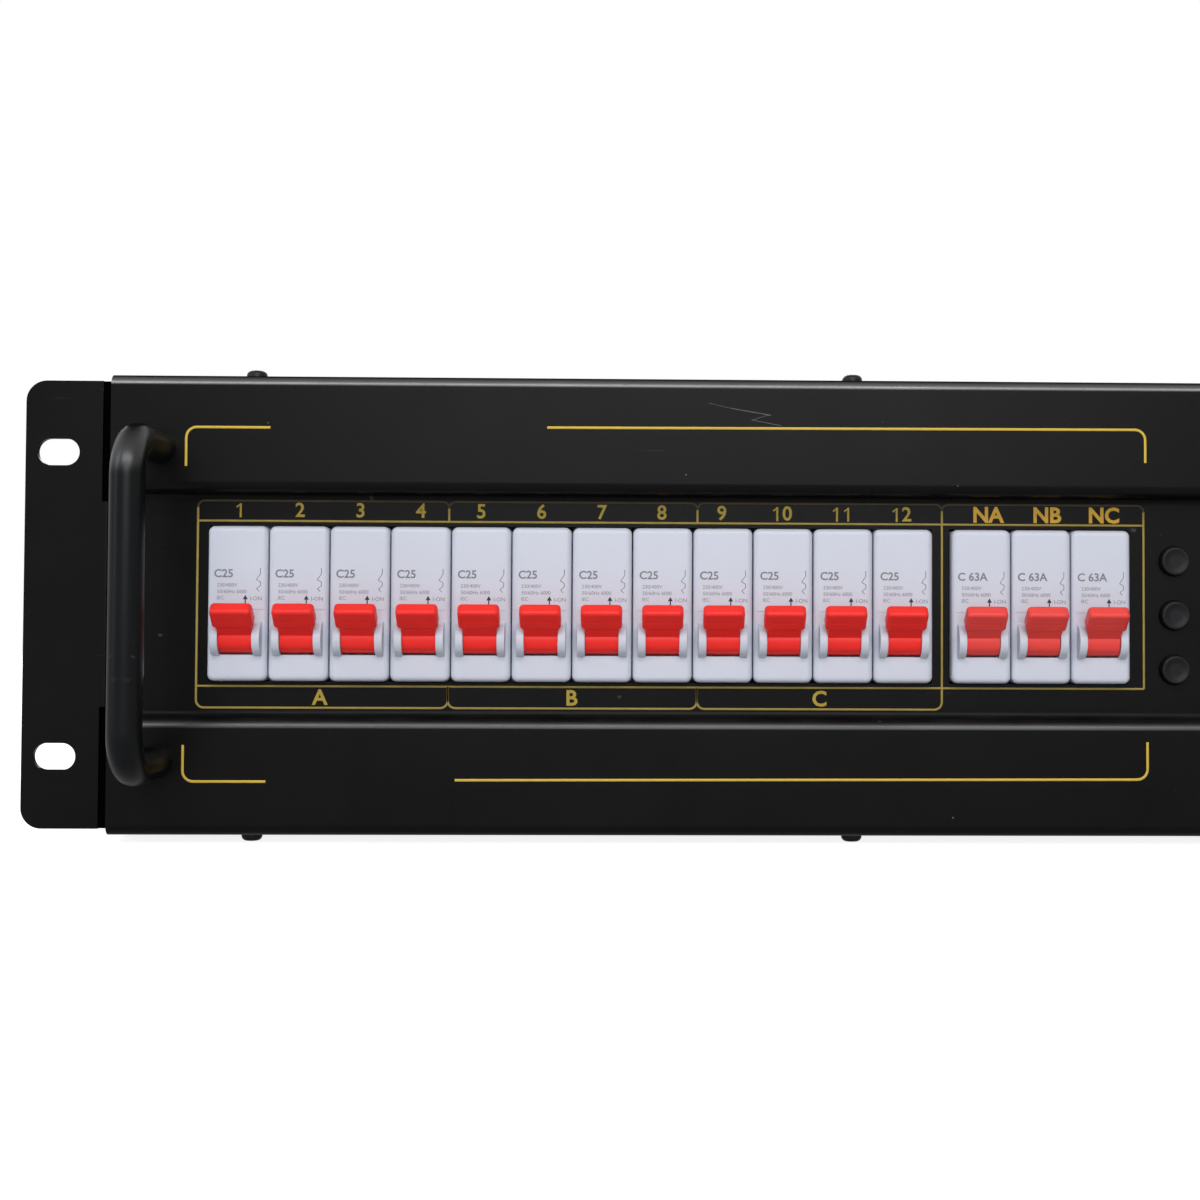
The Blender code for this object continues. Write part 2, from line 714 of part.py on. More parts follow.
def foot_ends():
    """The cutters that shorten the rear panel's foot to pass between the tray's bends."""
    y_span = (REAR_FRONT - CASE_FLANGE - OVERRUN, REAR_FRONT - FIT / 2)
    z_span = (FLOOR - OVERRUN, FLOOR + CASE_BEND + OVERRUN)
    inner = CASE_WIDTH / 2 - CASE_BEND - FIT
    outer = CASE_WIDTH / 2 + OVERRUN
    return [box("foot_end", sorted((side * inner, side * outer)), y_span, z_span) for side in (-1, 1)]


def rear_panel():
    """The rear sheet with its foot on the tray's floor, the pressed fan grille and the cut-outs."""
    plate = REAR_FRONT + CASE_SHEET / 2
    foot = FLOOR + CASE_SHEET / 2
    line = [(plate - CASE_FLANGE, foot), (plate, foot), (plate, COVER_UNDER - CASE_BEND)]
    panel = prism("rear_panel", bent_sheet(line, CASE_BEND, CASE_SHEET), around(0, CASE_WIDTH), "x")
    through = (REAR_FRONT - OVERRUN, REAR_BACK + OVERRUN)
    tools = foot_ends()
    for ring in range(GRILLE_RINGS):
        for index in range(GRILLE_ARCS):
            tools.append(prism("grille", grille_arc(ring, index), through, "y"))
    left, right = output_span()
    x_span = (left - FIT, right + FIT)
    tools.append(box("output_hole", x_span, through, around(OUTPUT_Z, OUTPUT_HEIGHT + 2 * FIT)))
    tools.append(prism("gland_hole", circle((GLAND_X, GLAND_Z), GLAND_THREAD + FIT, MEDIUM_SIDES), through, "y"))
    for x in socket_places():
        tools.append(prism("socket_hole", circle((x, SOCKET_Z), SOCKET_RADIUS + FIT, MEDIUM_SIDES), through, "y"))
    return finish(cut(panel, tools), BLACK_ENAMEL)


# Breakers

def housing_side():
    """The moulding seen from its side behind the shoulders, with the claws that grip the rail."""
    top = HOUSING_HEIGHT / 2
    seat = SEAT_DEPTH
    rear = SEAT_DEPTH + CLAW_DEPTH
    notch = RAIL_WIDTH / 2 + FIT
    lip = notch - CLAW_LIP
    hook = seat + RAIL_SHEET + 2 * FIT
    upper = [
        (NOSE_DEPTH, top),
        (HOUSING_DEPTH, top),
        (HOUSING_DEPTH, notch + CLAW_HEIGHT),
        (rear, notch + CLAW_HEIGHT),
        (rear, lip),
        (hook, lip),
        (hook, notch),
        (seat, notch),
    ]
    return mirrored_profile(upper)


def nose():
    """The front block of the moulding, round-cornered with a chamfered rim."""
    half_height = NOSE_HEIGHT / 2
    width = around(0, MODULE_WIDTH)
    outline = rounded_rectangle(width, (-half_height, half_height), NOSE_CORNER, SMALL_STEPS)
    shape = prism_shape(outline, (0, NOSE_DEPTH + OVERRUN), "y")
    rim = [edge for edge in shape.edges if all(v.co.y < FIT for v in edge.verts)]
    bmesh.ops.bevel(shape, geom=rim, offset=NOSE_CHAMFER, segments=1, affect="EDGES")
    return new_object("nose", shape)


def cheeks():
    """The two half-round lobes that carry the lever's pins."""
    outline = circle((LEVER_SETBACK, -LEVER_DROP), CHEEK_RADIUS, MEDIUM_SIDES)
    inner = BARREL_WIDTH / 2
    outer = CHEEK_SPAN / 2
    return [prism("cheek", outline, sorted((side * inner, side * outer)), "x") for side in (-1, 1)]


def lever_bay():
    """The cutters for the barrel's well and the blind pin bores in its two cheeks."""
    hinge = (LEVER_SETBACK, -LEVER_DROP)
    well = BARREL_WIDTH / 2 + FIT
    bore = BARREL_WIDTH / 2 + PIN_LENGTH + FIT
    barrel = circle(hinge, BARREL_RADIUS + PASS, MEDIUM_SIDES)
    pin = circle(hinge, PIN_RADIUS + PIN_CLEARANCE, SMALL_SIDES)
    return [prism("well", barrel, (-well, well), "x"), prism("bore", pin, (-bore, bore), "x")]


def wire_terminals():
    """The cutters for the screw holes in both shoulders and the wire entries in both ends."""
    tools = []
    for side in (-1, 1):
        edge = side * HOUSING_HEIGHT / 2
        screw = circle((0, edge - side * TERMINAL_HOLE_INSET), TERMINAL_HOLE_RADIUS, SMALL_SIDES)
        y_span = (NOSE_DEPTH - OVERRUN, NOSE_DEPTH + TERMINAL_HOLE_DEPTH)
        tools.append(prism("screw_hole", screw, y_span, "y"))
        z_span = sorted((edge + side * OVERRUN, edge - side * ENTRY_DEPTH))
        entry = around(ENTRY_SETBACK, ENTRY_THICKNESS)
        tools.append(box("wire_entry", around(0, ENTRY_WIDTH), entry, z_span))
    return tools


def breaker_pattern():
    """One moulded housing, drawn with its origin at the middle of its face."""
    housing = prism("breaker", housing_side(), around(0, MODULE_WIDTH), "x")
    fuse(housing, [nose()] + cheeks())
    return cut(housing, lever_bay() + wire_terminals())


def paddle():
    """The finger piece, drawn pointing along -Y before it is turned up."""
    half = PADDLE_THICKNESS / 2
    shape = prism_shape(rectangle((-PADDLE_TIP, -PADDLE_ROOT), (-half, half)), around(0, PADDLE_WIDTH), "x")
    tip = [edge for edge in shape.edges if all(v.co.y < -PADDLE_TIP + FIT for v in edge.verts)]
    corners = [edge for edge in tip if abs(edge.verts[0].co.x - edge.verts[1].co.x) < FIT]
    bmesh.ops.bevel(shape, geom=corners, offset=PADDLE_CORNER, segments=SMALL_STEPS, profile=0.5, affect="EDGES")
    taper = PADDLE_TIP_THICKNESS / PADDLE_THICKNESS
    for vertex in shape.verts:
        if vertex.co.y < -PADDLE_ROOT - FIT:
            vertex.co.z *= taper
    return new_object("paddle", shape)


def lever_pattern():
    """One lever with its barrel, neck, paddle and hinge pins, its origin on the hinge."""
    lever = prism("lever", circle((0, 0), BARREL_RADIUS, MEDIUM_SIDES), around(0, BARREL_WIDTH), "x")
    half = PADDLE_THICKNESS / 2
    neck_outline = rectangle((-PADDLE_ROOT - OVERRUN, 0), (-half + FIT, half - FIT))
    neck = prism("neck", neck_outline, around(0, BARREL_WIDTH), "x")
    pin_reach = BARREL_WIDTH / 2 + PIN_LENGTH
    pins = prism("pins", circle((0, 0), PIN_RADIUS, SMALL_SIDES), (-pin_reach, pin_reach), "x")
    fuse(lever, [neck, paddle(), pins])
    lever.data.transform(Matrix.Rotation(radians(-LEVER_ON), 4, "X"))
    return lever


def module_middles(left, count):
    """The middle of each module in a row that starts at `left`."""
    return [left + MODULE_PITCH * index + MODULE_WIDTH / 2 for index in range(count)]


def breakers(frame):
    """Twelve channel breakers and three main breakers, each with its lever."""
    channel_tags = [f"{number:02d}" for number in range(1, CHANNEL_COUNT + 1)]
    main_tags = ["na", "nb", "nc"][:MAIN_COUNT]
    rows = [
        (channel_tags, module_middles(CHANNELS_LEFT, CHANNEL_COUNT), LEVER_RED, "channel"),
        (main_tags, module_middles(MAINS_LEFT, MAIN_COUNT), LEVER_CORAL, "main"),
    ]
    for tags, middles, lever_look, row in rows:
        housing = finish(breaker_pattern(), HOUSING_WHITE, f"{row}_housing")
        copies(housing, [f"breaker_{tag}" for tag in tags], [(x, FACE_Y, FACE_RISE) for x in middles], frame)
        lever = finish(lever_pattern(), lever_look, f"{row}_lever")
        hinge = [(x, FACE_Y + LEVER_SETBACK, FACE_RISE - LEVER_DROP) for x in middles]
        copies(lever, [f"lever_{tag}" for tag in tags], hinge, frame)


def rail_feet(left, right):
    """Folded feet that carry the rail from the tray's floor."""
    back = RAIL_SEAT + RAIL_DEPTH
    top = RAIL_HAT / 2
    sole = FLOOR + RAIL_FOOT_SHEET / 2
    line = [(back, top + FACE_RISE), (back, sole), (back + RAIL_FOOT_DEPTH, sole)]
    outline = bent_sheet(line, CASE_BEND, RAIL_FOOT_SHEET)
    places = (left + RAIL_FOOT_WIDTH, (left + right) / 2, right - RAIL_FOOT_WIDTH)
    return [prism("foot", outline, around(x, RAIL_FOOT_WIDTH), "x") for x in places]


def din_rail():
    """The top-hat rail under the claws of all the modules."""
    left = CHANNELS_LEFT - RAIL_OVERHANG
    right = MAINS_LEFT + MAIN_COUNT * MODULE_PITCH + RAIL_OVERHANG
    flange = RAIL_SEAT + RAIL_SHEET / 2
    hat = RAIL_SEAT + RAIL_DEPTH - RAIL_SHEET / 2
    brim = RAIL_HAT / 2 - RAIL_SHEET / 2
    upper = [(flange, RAIL_WIDTH / 2), (flange, brim), (hat, brim)]
    outline = [(y, z + FACE_RISE) for y, z in bent_sheet(mirrored_profile(upper), 2 * RAIL_SHEET, RAIL_SHEET)]
    rail = prism("din_rail", outline, (left, right), "x")
    return finish(fuse(rail, rail_feet(left, right)), ZINC)


def busbar(name, first):
    """A comb busbar: a bar above four modules with one tooth down into each wire entry."""
    middles = module_middles(CHANNELS_LEFT, CHANNEL_COUNT)[first:first + GROUP_SIZE]
    end = FACE_RISE + HOUSING_HEIGHT / 2
    bottom = end + BUSBAR_LIFT
    y = FACE_Y + ENTRY_SETBACK
    x_span = (middles[0] - TOOTH_WIDTH / 2 - OVERRUN, middles[-1] + TOOTH_WIDTH / 2 + OVERRUN)
    bar = box(name, x_span, around(y, BUSBAR_THICKNESS), (bottom, bottom + BUSBAR_HEIGHT))
    teeth = [
        box("tooth", around(x, TOOTH_WIDTH), around(y, TOOTH_THICKNESS), (end - TOOTH_REACH, bottom + OVERRUN))
        for x in middles
    ]
    return finish(fuse(bar, teeth), COPPER)


# Controls

def button_pattern():
    """A round cap with a crowned front, and a collar that stays behind the plate."""
    front = -PLATE_REACH - BUTTON_PROUD
    collar = PLATE_REAR + FIT
    profile = [
        (0, front),
        (BUTTON_RADIUS - 2 * BUTTON_CROWN, front),
        (BUTTON_RADIUS, front + BUTTON_CROWN),
        (BUTTON_RADIUS, collar),
        (BUTTON_COLLAR, collar),
        (BUTTON_COLLAR, collar + BUTTON_COLLAR_THICKNESS),
        (0, collar + BUTTON_COLLAR_THICKNESS),
    ]
    return turned("button", profile, (0, 0, 0), "y", MEDIUM_SIDES)


def buttons(frame):
    """The column of push buttons beside the main breakers."""
    cap = finish(button_pattern(), BUTTON_BLACK)
    places = [(BUTTON_X, 0, z) for z in button_heights()]
    copies(cap, [f"button_{number}" for number in range(1, BUTTON_COUNT + 1)], places, frame)


def display_module():
    """The display: a filter that shows through the plate on a wider body behind it."""
    x_span = around(DISPLAY_X, DISPLAY_WIDTH)
    z_span = around(DISPLAY_Z, DISPLAY_HEIGHT)
    front = -PLATE_REACH - DISPLAY_PROUD
    outline = rounded_rectangle(x_span, z_span, NOSE_CORNER)
    window = prism("display_module", outline, (front, PLATE_REAR + FIT + OVERRUN), "y")
    wide = around(DISPLAY_X, DISPLAY_WIDTH + 2 * DISPLAY_RIM)
    tall = around(DISPLAY_Z, DISPLAY_HEIGHT + 2 * DISPLAY_RIM)
    body = box("body", wide, (PLATE_REAR + FIT, BOARD_FRONT - FIT), tall)
    return finish(fuse(window, [body]), DISPLAY_DARK)


def board_switches():
    """A square switch with a stem behind each button, clear of the cap at full travel."""
    stem_front = PLATE_REAR + FIT + BUTTON_COLLAR_THICKNESS + BUTTON_TRAVEL + FIT
    pieces = []
    for z in button_heights():
        body = (stem_front + OVERRUN, BOARD_FRONT + OVERRUN)
        pieces.append(box("switch", around(BUTTON_X, SWITCH_SIZE), body, around(z, SWITCH_SIZE)))
        stem = (stem_front, BOARD_FRONT + OVERRUN)
        pieces.append(box("stem", around(BUTTON_X, SWITCH_STEM), stem, around(z, SWITCH_STEM)))
    return pieces


def board_lamps():
    """Round lamps that stand on the board and show through the plate."""
    profile = [
        (0, -PLATE_REACH - LED_PROUD),
        (LED_RADIUS, -PLATE_REACH),
        (LED_RADIUS, BOARD_FRONT + OVERRUN / 2),
        (0, BOARD_FRONT + OVERRUN / 2),
    ]
    return [turned("lamp", profile, (x, 0, LED_Z), "y", SMALL_SIDES) for x in led_places()]


def board_pillars(x_span, z_span):
    """Spacers from the rear of the plate to the board's corners."""
    y_span = (PLATE_REAR + FIT, BOARD_FRONT + OVERRUN)
    places = [(x, z) for x in x_span for z in z_span]
    return [prism("pillar", circle(place, PILLAR_RADIUS, SMALL_SIDES), y_span, "y") for place in places]


def control_board():
    """The board behind the plate with its switches, lamps, spacers and ribbon header."""
    x_span = around(BOARD_X, BOARD_WIDTH)
    z_span = around(0, BOARD_HEIGHT)
    board = box("control_board", x_span, (BOARD_FRONT, BOARD_BACK), z_span)
    inner_x = around(BOARD_X, BOARD_WIDTH - 2 * PILLAR_INSET)
    inner_z = around(0, BOARD_HEIGHT - 2 * PILLAR_INSET)
    header_y = (BOARD_BACK - OVERRUN, BOARD_BACK + HEADER_DEPTH)
    header = box("header", around(BOARD_X, HEADER_WIDTH), header_y, around(0, HEADER_HEIGHT))
    fuse(board, board_switches() + board_lamps() + board_pillars(inner_x, inner_z) + [header])
    return finish(board, BOARD_GREEN)


# Power section

def heatsink():
    """An extrusion lying fins down on the floor, its flat base on top for the modules."""
    left, right = around(HEATSINK_X, HEATSINK_WIDTH)
    base = HEATSINK_TOP - HEATSINK_BASE
    pitch = (HEATSINK_WIDTH - FIN_THICKNESS) / (FIN_COUNT - 1)
    tip = FIN_THICKNESS - FIN_TAPER
    outline = [(right, HEATSINK_TOP), (left, HEATSINK_TOP)]
    for index in range(FIN_COUNT):
        middle = left + FIN_THICKNESS / 2 + pitch * index
        outline.append((middle - FIN_THICKNESS / 2, base))
        outline.append((middle - tip / 2, FLOOR))
        outline.append((middle + tip / 2, FLOOR))
        outline.append((middle + FIN_THICKNESS / 2, base))
    y_span = (HEATSINK_FRONT, HEATSINK_FRONT + HEATSINK_LENGTH)
    return finish(prism("heatsink", outline, y_span, "y"), ALUMINIUM)


def power_pattern():
    """A switching module: a mounting foot and a stepped body with a terminal for each channel."""
    half = POWER_WIDTH / 2
    deck = POWER_HEIGHT - POWER_STEP
    upper = [(half, 0), (half, POWER_FOOT), (half - POWER_FOOT, POWER_FOOT), (half - POWER_FOOT, deck)]
    upper += [(half / 2, deck), (half / 2 - POWER_FOOT, POWER_HEIGHT)]
    outline = upper + [(-x, z) for x, z in reversed(upper)]
    body = prism("power", outline, around(0, POWER_LENGTH), "y")
    pitch = POWER_LENGTH / POWER_TERMINALS
    gaps = []
    for index in range(1, POWER_TERMINALS):
        y_span = around(-POWER_LENGTH / 2 + pitch * index, POWER_TERMINAL_GAP)
        gaps.append(box("gap", around(0, POWER_WIDTH), y_span, (deck, POWER_HEIGHT + OVERRUN)))
    return cut(body, gaps)


def power_modules(frame):
    """One switching module for each phase group, in a row on the heatsink."""
    module = finish(power_pattern(), MODULE_BLACK)
    y = HEATSINK_FRONT + HEATSINK_LENGTH / 2
    places = [(HEATSINK_X + POWER_PITCH * step, y, HEATSINK_TOP + FIT) for step in (-1, 0, 1)]
    copies(module, ["power_module_a", "power_module_b", "power_module_c"], places, frame)


def choke(place):
    """A wound ring with a potted centre, standing on the bank's plate."""
    middle = CHOKE_RADIUS - CHOKE_CORE
    level = CHOKE_CORE - CHOKE_SINK
    ring = [
        (middle + CHOKE_CORE * cos(angle), level + CHOKE_CORE * sin(angle))
        for angle in [radians(step) for step in (150, 85, 20, -35, -90)]
    ]
    profile = [(0, level + CHOKE_POTTING - CHOKE_CORE / 2)] + ring + [(0, level - CHOKE_CORE)]
    return turned("choke", profile, place, "z", CHOKE_SIDES)


def choke_pattern():
    """Four interference chokes on one plate."""
    half = CHOKE_PLATE / 2
    outline = rounded_rectangle((-half, half), (-half, half), PILLAR_RADIUS)
    plate = prism("choke_bank", outline, (0, CHOKE_PLATE_SHEET), "z")
    offset = CHOKE_PITCH / 2
    rings = [choke((x, y, CHOKE_PLATE_SHEET)) for x in (-offset, offset) for y in (-offset, offset)]
    return fuse(plate, rings)


def choke_banks(frame):
    """One bank for each phase group, from front to rear."""
    bank = finish(choke_pattern(), CHOKE_OCHRE)
    places = [(CHOKE_X, CHOKE_FRONT + CHOKE_BANK_PITCH * step, FLOOR) for step in range(3)]
    copies(bank, ["choke_bank_a", "choke_bank_b", "choke_bank_c"], places, frame)


# Fan

def fan_frame():
    """A square fan housing with its bore, back plate, struts and screw holes."""
    half = FAN_SIZE / 2
    rear = FAN_REAR
    front = rear - FAN_DEPTH
    outline = rounded_rectangle((FAN_X - half, FAN_X + half), (-half, half), FAN_CORNER)
    frame = prism("fan_frame", outline, (front, rear), "y")
    bore = prism("bore", circle((FAN_X, 0), FAN_BORE, LARGE_SIDES), (front - OVERRUN, rear + OVERRUN), "y")
    holes = []
    for x in around(FAN_X, FAN_HOLE_PITCH):
        for z in around(0, FAN_HOLE_PITCH):
            hole = circle((x, z), FAN_HOLE_RADIUS, SMALL_SIDES)
            holes.append(prism("hole", hole, (front - OVERRUN, rear + OVERRUN), "y"))
    cut(frame, [bore] + holes)
    y_span = (front, front + FAN_BACK)
    hub = prism("hub", circle((FAN_X, 0), FAN_HUB, MEDIUM_SIDES), y_span, "y")
    reach = FAN_BORE + OVERRUN
    level = box("strut", (FAN_X - reach, FAN_X + reach), y_span, around(0, FAN_STRUT))
    upright = box("strut", around(FAN_X, FAN_STRUT), y_span, (-reach, reach))
    return finish(fuse(frame, [hub, level, upright]), FAN_BLACK)


def blade(index):
    """One twisted blade, lofted from its root inside the hub to its tip."""
    shape = bmesh.new()
    stations = []
    for radius, angle in ((FAN_HUB - OVERRUN, BLADE_ROOT_ANGLE), (BLADE_TIP, BLADE_TIP_ANGLE)):
        lean = radians(angle)
        chord = Vector((cos(lean), sin(lean), 0)) * BLADE_CHORD / 2
        across = Vector((-sin(lean), cos(lean), 0)) * BLADE_THICKNESS / 2
        middle = Vector((0, 0, radius))
        corners = [middle - chord - across, middle + chord - across, middle + chord + across, middle - chord + across]
        stations.append([shape.verts.new(corner) for corner in corners])
    bmesh.ops.bridge_loops(shape, edges=[
        shape.edges.new((ring[step - 1], ring[step])) for ring in stations for step in range(len(ring))
    ])
    for ring in stations:
        shape.faces.new(ring)
    bmesh.ops.rotate(shape, verts=shape.verts, matrix=Matrix.Rotation(2 * pi * index / FAN_BLADES, 3, "Y"))
    return new_object("blade", shape)


def fan_rotor(frame):
    """A cup-shaped hub with swept blades, its origin on the spindle."""
    depth = FAN_HUB_DEPTH / 2
    crown = FAN_HUB - 2 * BLADE_THICKNESS
    profile = [(0, -depth), (FAN_HUB, -depth), (FAN_HUB, depth - BLADE_THICKNESS), (crown, depth), (0, depth)]
    rotor = turned("fan_rotor", profile, (0, 0, 0), "y", MEDIUM_SIDES)
    fuse(rotor, [blade(index) for index in range(FAN_BLADES)])
    middle = FAN_REAR - FAN_DEPTH + FAN_BACK + PASS + depth
    rotor.location = (FAN_X, middle, 0)
    rotor.parent = frame
    return finish(rotor, FAN_BLACK)


# Rear connections

def output_terminals():
    """A barrier strip for the twelve outputs, proud of the rear panel, with a pocket for each pole."""
    left, right = output_span()
    z_span = around(OUTPUT_Z, OUTPUT_HEIGHT)
    back = REAR_BACK + OUTPUT_PROUD
    strip = box("output_terminals", (left, right), (back - OUTPUT_DEPTH, back), z_span)
    pockets = []
    for index in range(OUTPUT_POLES):
        middle = left + OUTPUT_PITCH * (index + 0.5)
        x_span = around(middle, OUTPUT_PITCH - OUTPUT_BARRIER)
        upper = (OUTPUT_Z - OUTPUT_HEIGHT / 4, OUTPUT_Z + OUTPUT_HEIGHT / 2 + OVERRUN)
        pockets.append(box("pocket", x_span, (back - OUTPUT_POCKET, back + OVERRUN), upper))
    cut(strip, pockets)
    wide = (left - OUTPUT_FLANGE, right + OUTPUT_FLANGE)
    tall = around(OUTPUT_Z, OUTPUT_HEIGHT + 2 * OUTPUT_FLANGE)
    flange = box("flange", wide, (back - OUTPUT_DEPTH, REAR_FRONT - FIT), tall)
    return finish(fuse(strip, [flange]), TERMINAL_GREY)


def gland_profile():
    """The gland's barrel and dome nut from the inside of the case outward."""
    inside = REAR_FRONT - FIT - GLAND_NUT_DEPTH
    outside = REAR_BACK + FIT + GLAND_HEX_DEPTH
    shoulder = outside + GLAND_DOME_DEPTH / 2
    return [
        (0, inside - OVERRUN),
        (GLAND_THREAD, inside - OVERRUN),
        (GLAND_THREAD, outside - OVERRUN),
        (GLAND_HEX * cos(pi / 6), outside - OVERRUN),
        (GLAND_HEX * cos(pi / 6), shoulder),
        (GLAND_DOME_TIP, GLAND_REAR),
        (0, GLAND_REAR),
    ]


def cable_gland():
    """The mains inlet: locknut, threaded barrel, hexagon and dome nut round an open bore."""
    centre = (GLAND_X, GLAND_Z)
    gland = turned("cable_gland", gland_profile(), (GLAND_X, 0, GLAND_Z), "y", MEDIUM_SIDES)
    hexagon = prism("hexagon", circle(centre, GLAND_HEX, 6), (REAR_BACK + FIT, REAR_BACK + FIT + GLAND_HEX_DEPTH), "y")
    locknut = prism("locknut", circle(centre, GLAND_HEX, 6), (REAR_FRONT - FIT - GLAND_NUT_DEPTH, REAR_FRONT - FIT), "y")
    fuse(gland, [hexagon, locknut])
    through = (REAR_FRONT - 2 * GLAND_NUT_DEPTH, GLAND_REAR + OVERRUN)
    bore = prism("bore", circle(centre, GLAND_BORE, MEDIUM_SIDES), through, "y")
    return finish(cut(gland, [bore]), GLAND_GREY)


def mains_terminals():
    """A stepped terminal block for three phases, neutral and earth, with holes on top."""
    half = MAINS_WIDTH / 2
    step = MAINS_HEIGHT / 3
    upper = [(half, 0), (half, step), (half / 2, MAINS_HEIGHT)]
    outline = [(MAINS_X + x, FLOOR + z) for x, z in upper + [(-x, z) for x, z in reversed(upper)]]
    y_span = (MAINS_FRONT, MAINS_FRONT + MAINS_POLES * MAINS_PITCH)
    block = prism("mains_terminals", outline, y_span, "y")
    top = FLOOR + MAINS_HEIGHT
    holes = []
    for index in range(MAINS_POLES):
        y = MAINS_FRONT + MAINS_PITCH * (index + 0.5)
        hole = circle((MAINS_X, y), MAINS_HOLE, SMALL_SIDES)
        holes.append(prism("hole", hole, (top - MAINS_HOLE_DEPTH, top + OVERRUN), "z"))
    return finish(cut(block, holes), TERMINAL_GREY)


def signal_sockets():
    """Two round control sockets in the rear panel on one carrier board."""
    outside = REAR_BACK + FIT
    board_y = (outside - SOCKET_DEPTH, outside - SOCKET_DEPTH + SOCKET_BOARD)
    first, last = socket_places()[0], socket_places()[-1]
    x_span = (first - SOCKET_FLANGE_WIDTH / 2, last + SOCKET_FLANGE_WIDTH / 2)
    board = box("signal_sockets", x_span, board_y, around(SOCKET_Z, SOCKET_FLANGE_HEIGHT))
    pieces = []
    mouths = []
    for x in socket_places():
        barrel = circle((x, SOCKET_Z), SOCKET_RADIUS, MEDIUM_SIDES)
        pieces.append(prism("barrel", barrel, (board_y[0] + OVERRUN / 2, outside + OVERRUN), "y"))
        face = rounded_rectangle(around(x, SOCKET_FLANGE_WIDTH), around(SOCKET_Z, SOCKET_FLANGE_HEIGHT), PILLAR_RADIUS)
        pieces.append(prism("face", face, (outside, outside + SOCKET_FLANGE_DEPTH), "y"))
        mouth = circle((x, SOCKET_Z), SOCKET_MOUTH, MEDIUM_SIDES)
        rear = outside + SOCKET_FLANGE_DEPTH
        mouths.append(prism("mouth", mouth, (rear - SOCKET_MOUTH_DEPTH, rear + OVERRUN), "y"))
    return finish(cut(fuse(board, pieces), mouths), MODULE_BLACK)


def rack_frame():
    """The empty that stands the object on z = 0 with its box centred on the world's origin."""
    frame = bpy.data.objects.new("rack_frame", None)
    bpy.context.scene.collection.objects.link(frame)
    frame.location = (0, (FRONT_EXTENT - GLAND_REAR) / 2, PANEL_HEIGHT / 2 + SCREW_HEAD_HEIGHT)
    return frame


def build():
    """Make every piece and hang it on the rack frame."""
    clear_scene()
    frame = rack_frame()
    fixed = [front_panel(), chassis_tray(), top_cover(), rear_panel()]
    for name, side in (("left", -1), ("right", 1)):
        fixed += [rack_ear(f"rack_ear_{name}", side), handle(f"handle_{name}", side)]
    fixed += [din_rail(), display_module(), control_board(), heatsink(), fan_frame()]
    for step, phase in enumerate("abc"):
        fixed.append(busbar(f"busbar_{phase}", step * GROUP_SIZE))
    fixed += [output_terminals(), cable_gland(), mains_terminals(), signal_sockets()]
    for piece in fixed:
        piece.parent = frame
    breakers(frame)
    buttons(frame)
    power_modules(frame)
    choke_banks(frame)
    fan_rotor(frame)


build()
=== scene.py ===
"""Finishes and fine pieces of the rack-mount stage dimmer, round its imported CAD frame."""

import logging
from collections.abc import Callable
from dataclasses import dataclass
from enum import Enum
from math import cos, pi, radians, sin

import bmesh
import bpy
from mathutils import Matrix, Vector


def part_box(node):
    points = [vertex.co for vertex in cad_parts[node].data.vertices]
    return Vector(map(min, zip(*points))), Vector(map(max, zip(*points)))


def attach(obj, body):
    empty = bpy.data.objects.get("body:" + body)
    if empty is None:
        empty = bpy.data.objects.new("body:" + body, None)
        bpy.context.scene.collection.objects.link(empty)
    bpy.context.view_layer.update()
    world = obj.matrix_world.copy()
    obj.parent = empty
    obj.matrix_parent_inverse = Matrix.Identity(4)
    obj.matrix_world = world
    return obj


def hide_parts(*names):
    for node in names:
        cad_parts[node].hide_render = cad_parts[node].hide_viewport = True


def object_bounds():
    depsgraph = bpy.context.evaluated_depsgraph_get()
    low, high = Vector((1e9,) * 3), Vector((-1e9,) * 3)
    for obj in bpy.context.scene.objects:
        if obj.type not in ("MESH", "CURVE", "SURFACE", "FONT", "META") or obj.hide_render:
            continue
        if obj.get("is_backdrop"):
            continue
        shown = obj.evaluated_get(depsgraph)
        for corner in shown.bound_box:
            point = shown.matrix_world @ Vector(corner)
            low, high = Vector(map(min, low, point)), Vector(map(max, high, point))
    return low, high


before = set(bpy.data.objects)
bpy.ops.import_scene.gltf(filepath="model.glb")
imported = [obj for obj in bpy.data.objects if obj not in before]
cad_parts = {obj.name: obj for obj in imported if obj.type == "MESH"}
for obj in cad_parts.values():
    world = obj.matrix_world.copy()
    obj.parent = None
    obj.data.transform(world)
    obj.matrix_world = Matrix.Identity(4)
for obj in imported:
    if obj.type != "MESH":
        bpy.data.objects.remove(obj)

LOG = logging.getLogger("dimmer")
STILL = "dimmer"
MM = 0.001
SLACK = 0.01 * MM
SMOOTH, SHARP, FLAT = radians(35), radians(40), radians(1)
EAR_SHEET = 2 * MM
EAR_LOW, EAR_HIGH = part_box("rack_ear_left")
RACK = Vector((0, EAR_LOW.y + EAR_SHEET, (EAR_LOW.z + EAR_HIGH.z) / 2))
LETTER_BODY = 0.7
LETTER_DEPTH = 0.02 * MM
LINE_DEPTH = 0.05 * MM

Pair = tuple[float, float]
Triple = tuple[float, float, float]
Piece = bpy.types.Object
Node = bpy.types.Node
Socket = bpy.types.NodeSocket
Sockets = dict[str, Socket]
Test = Callable[[list[Vector]], bool]


class Axis(Enum):
    """The three directions of the rack frame, by their places in a vector."""

    X = 0
    Y = 1
    Z = 2


class Side(Enum):
    """The two sides of the panel, by the sign of x."""

    LEFT = -1
    RIGHT = 1


class Pick(Enum):
    """What edit mode selects."""

    EDGES = "EDGE"
    FACES = "FACE"


TURNS = {Axis.X: (0, pi / 2, 0), Axis.Y: (pi / 2, 0, 0), Axis.Z: (0, 0, 0)}


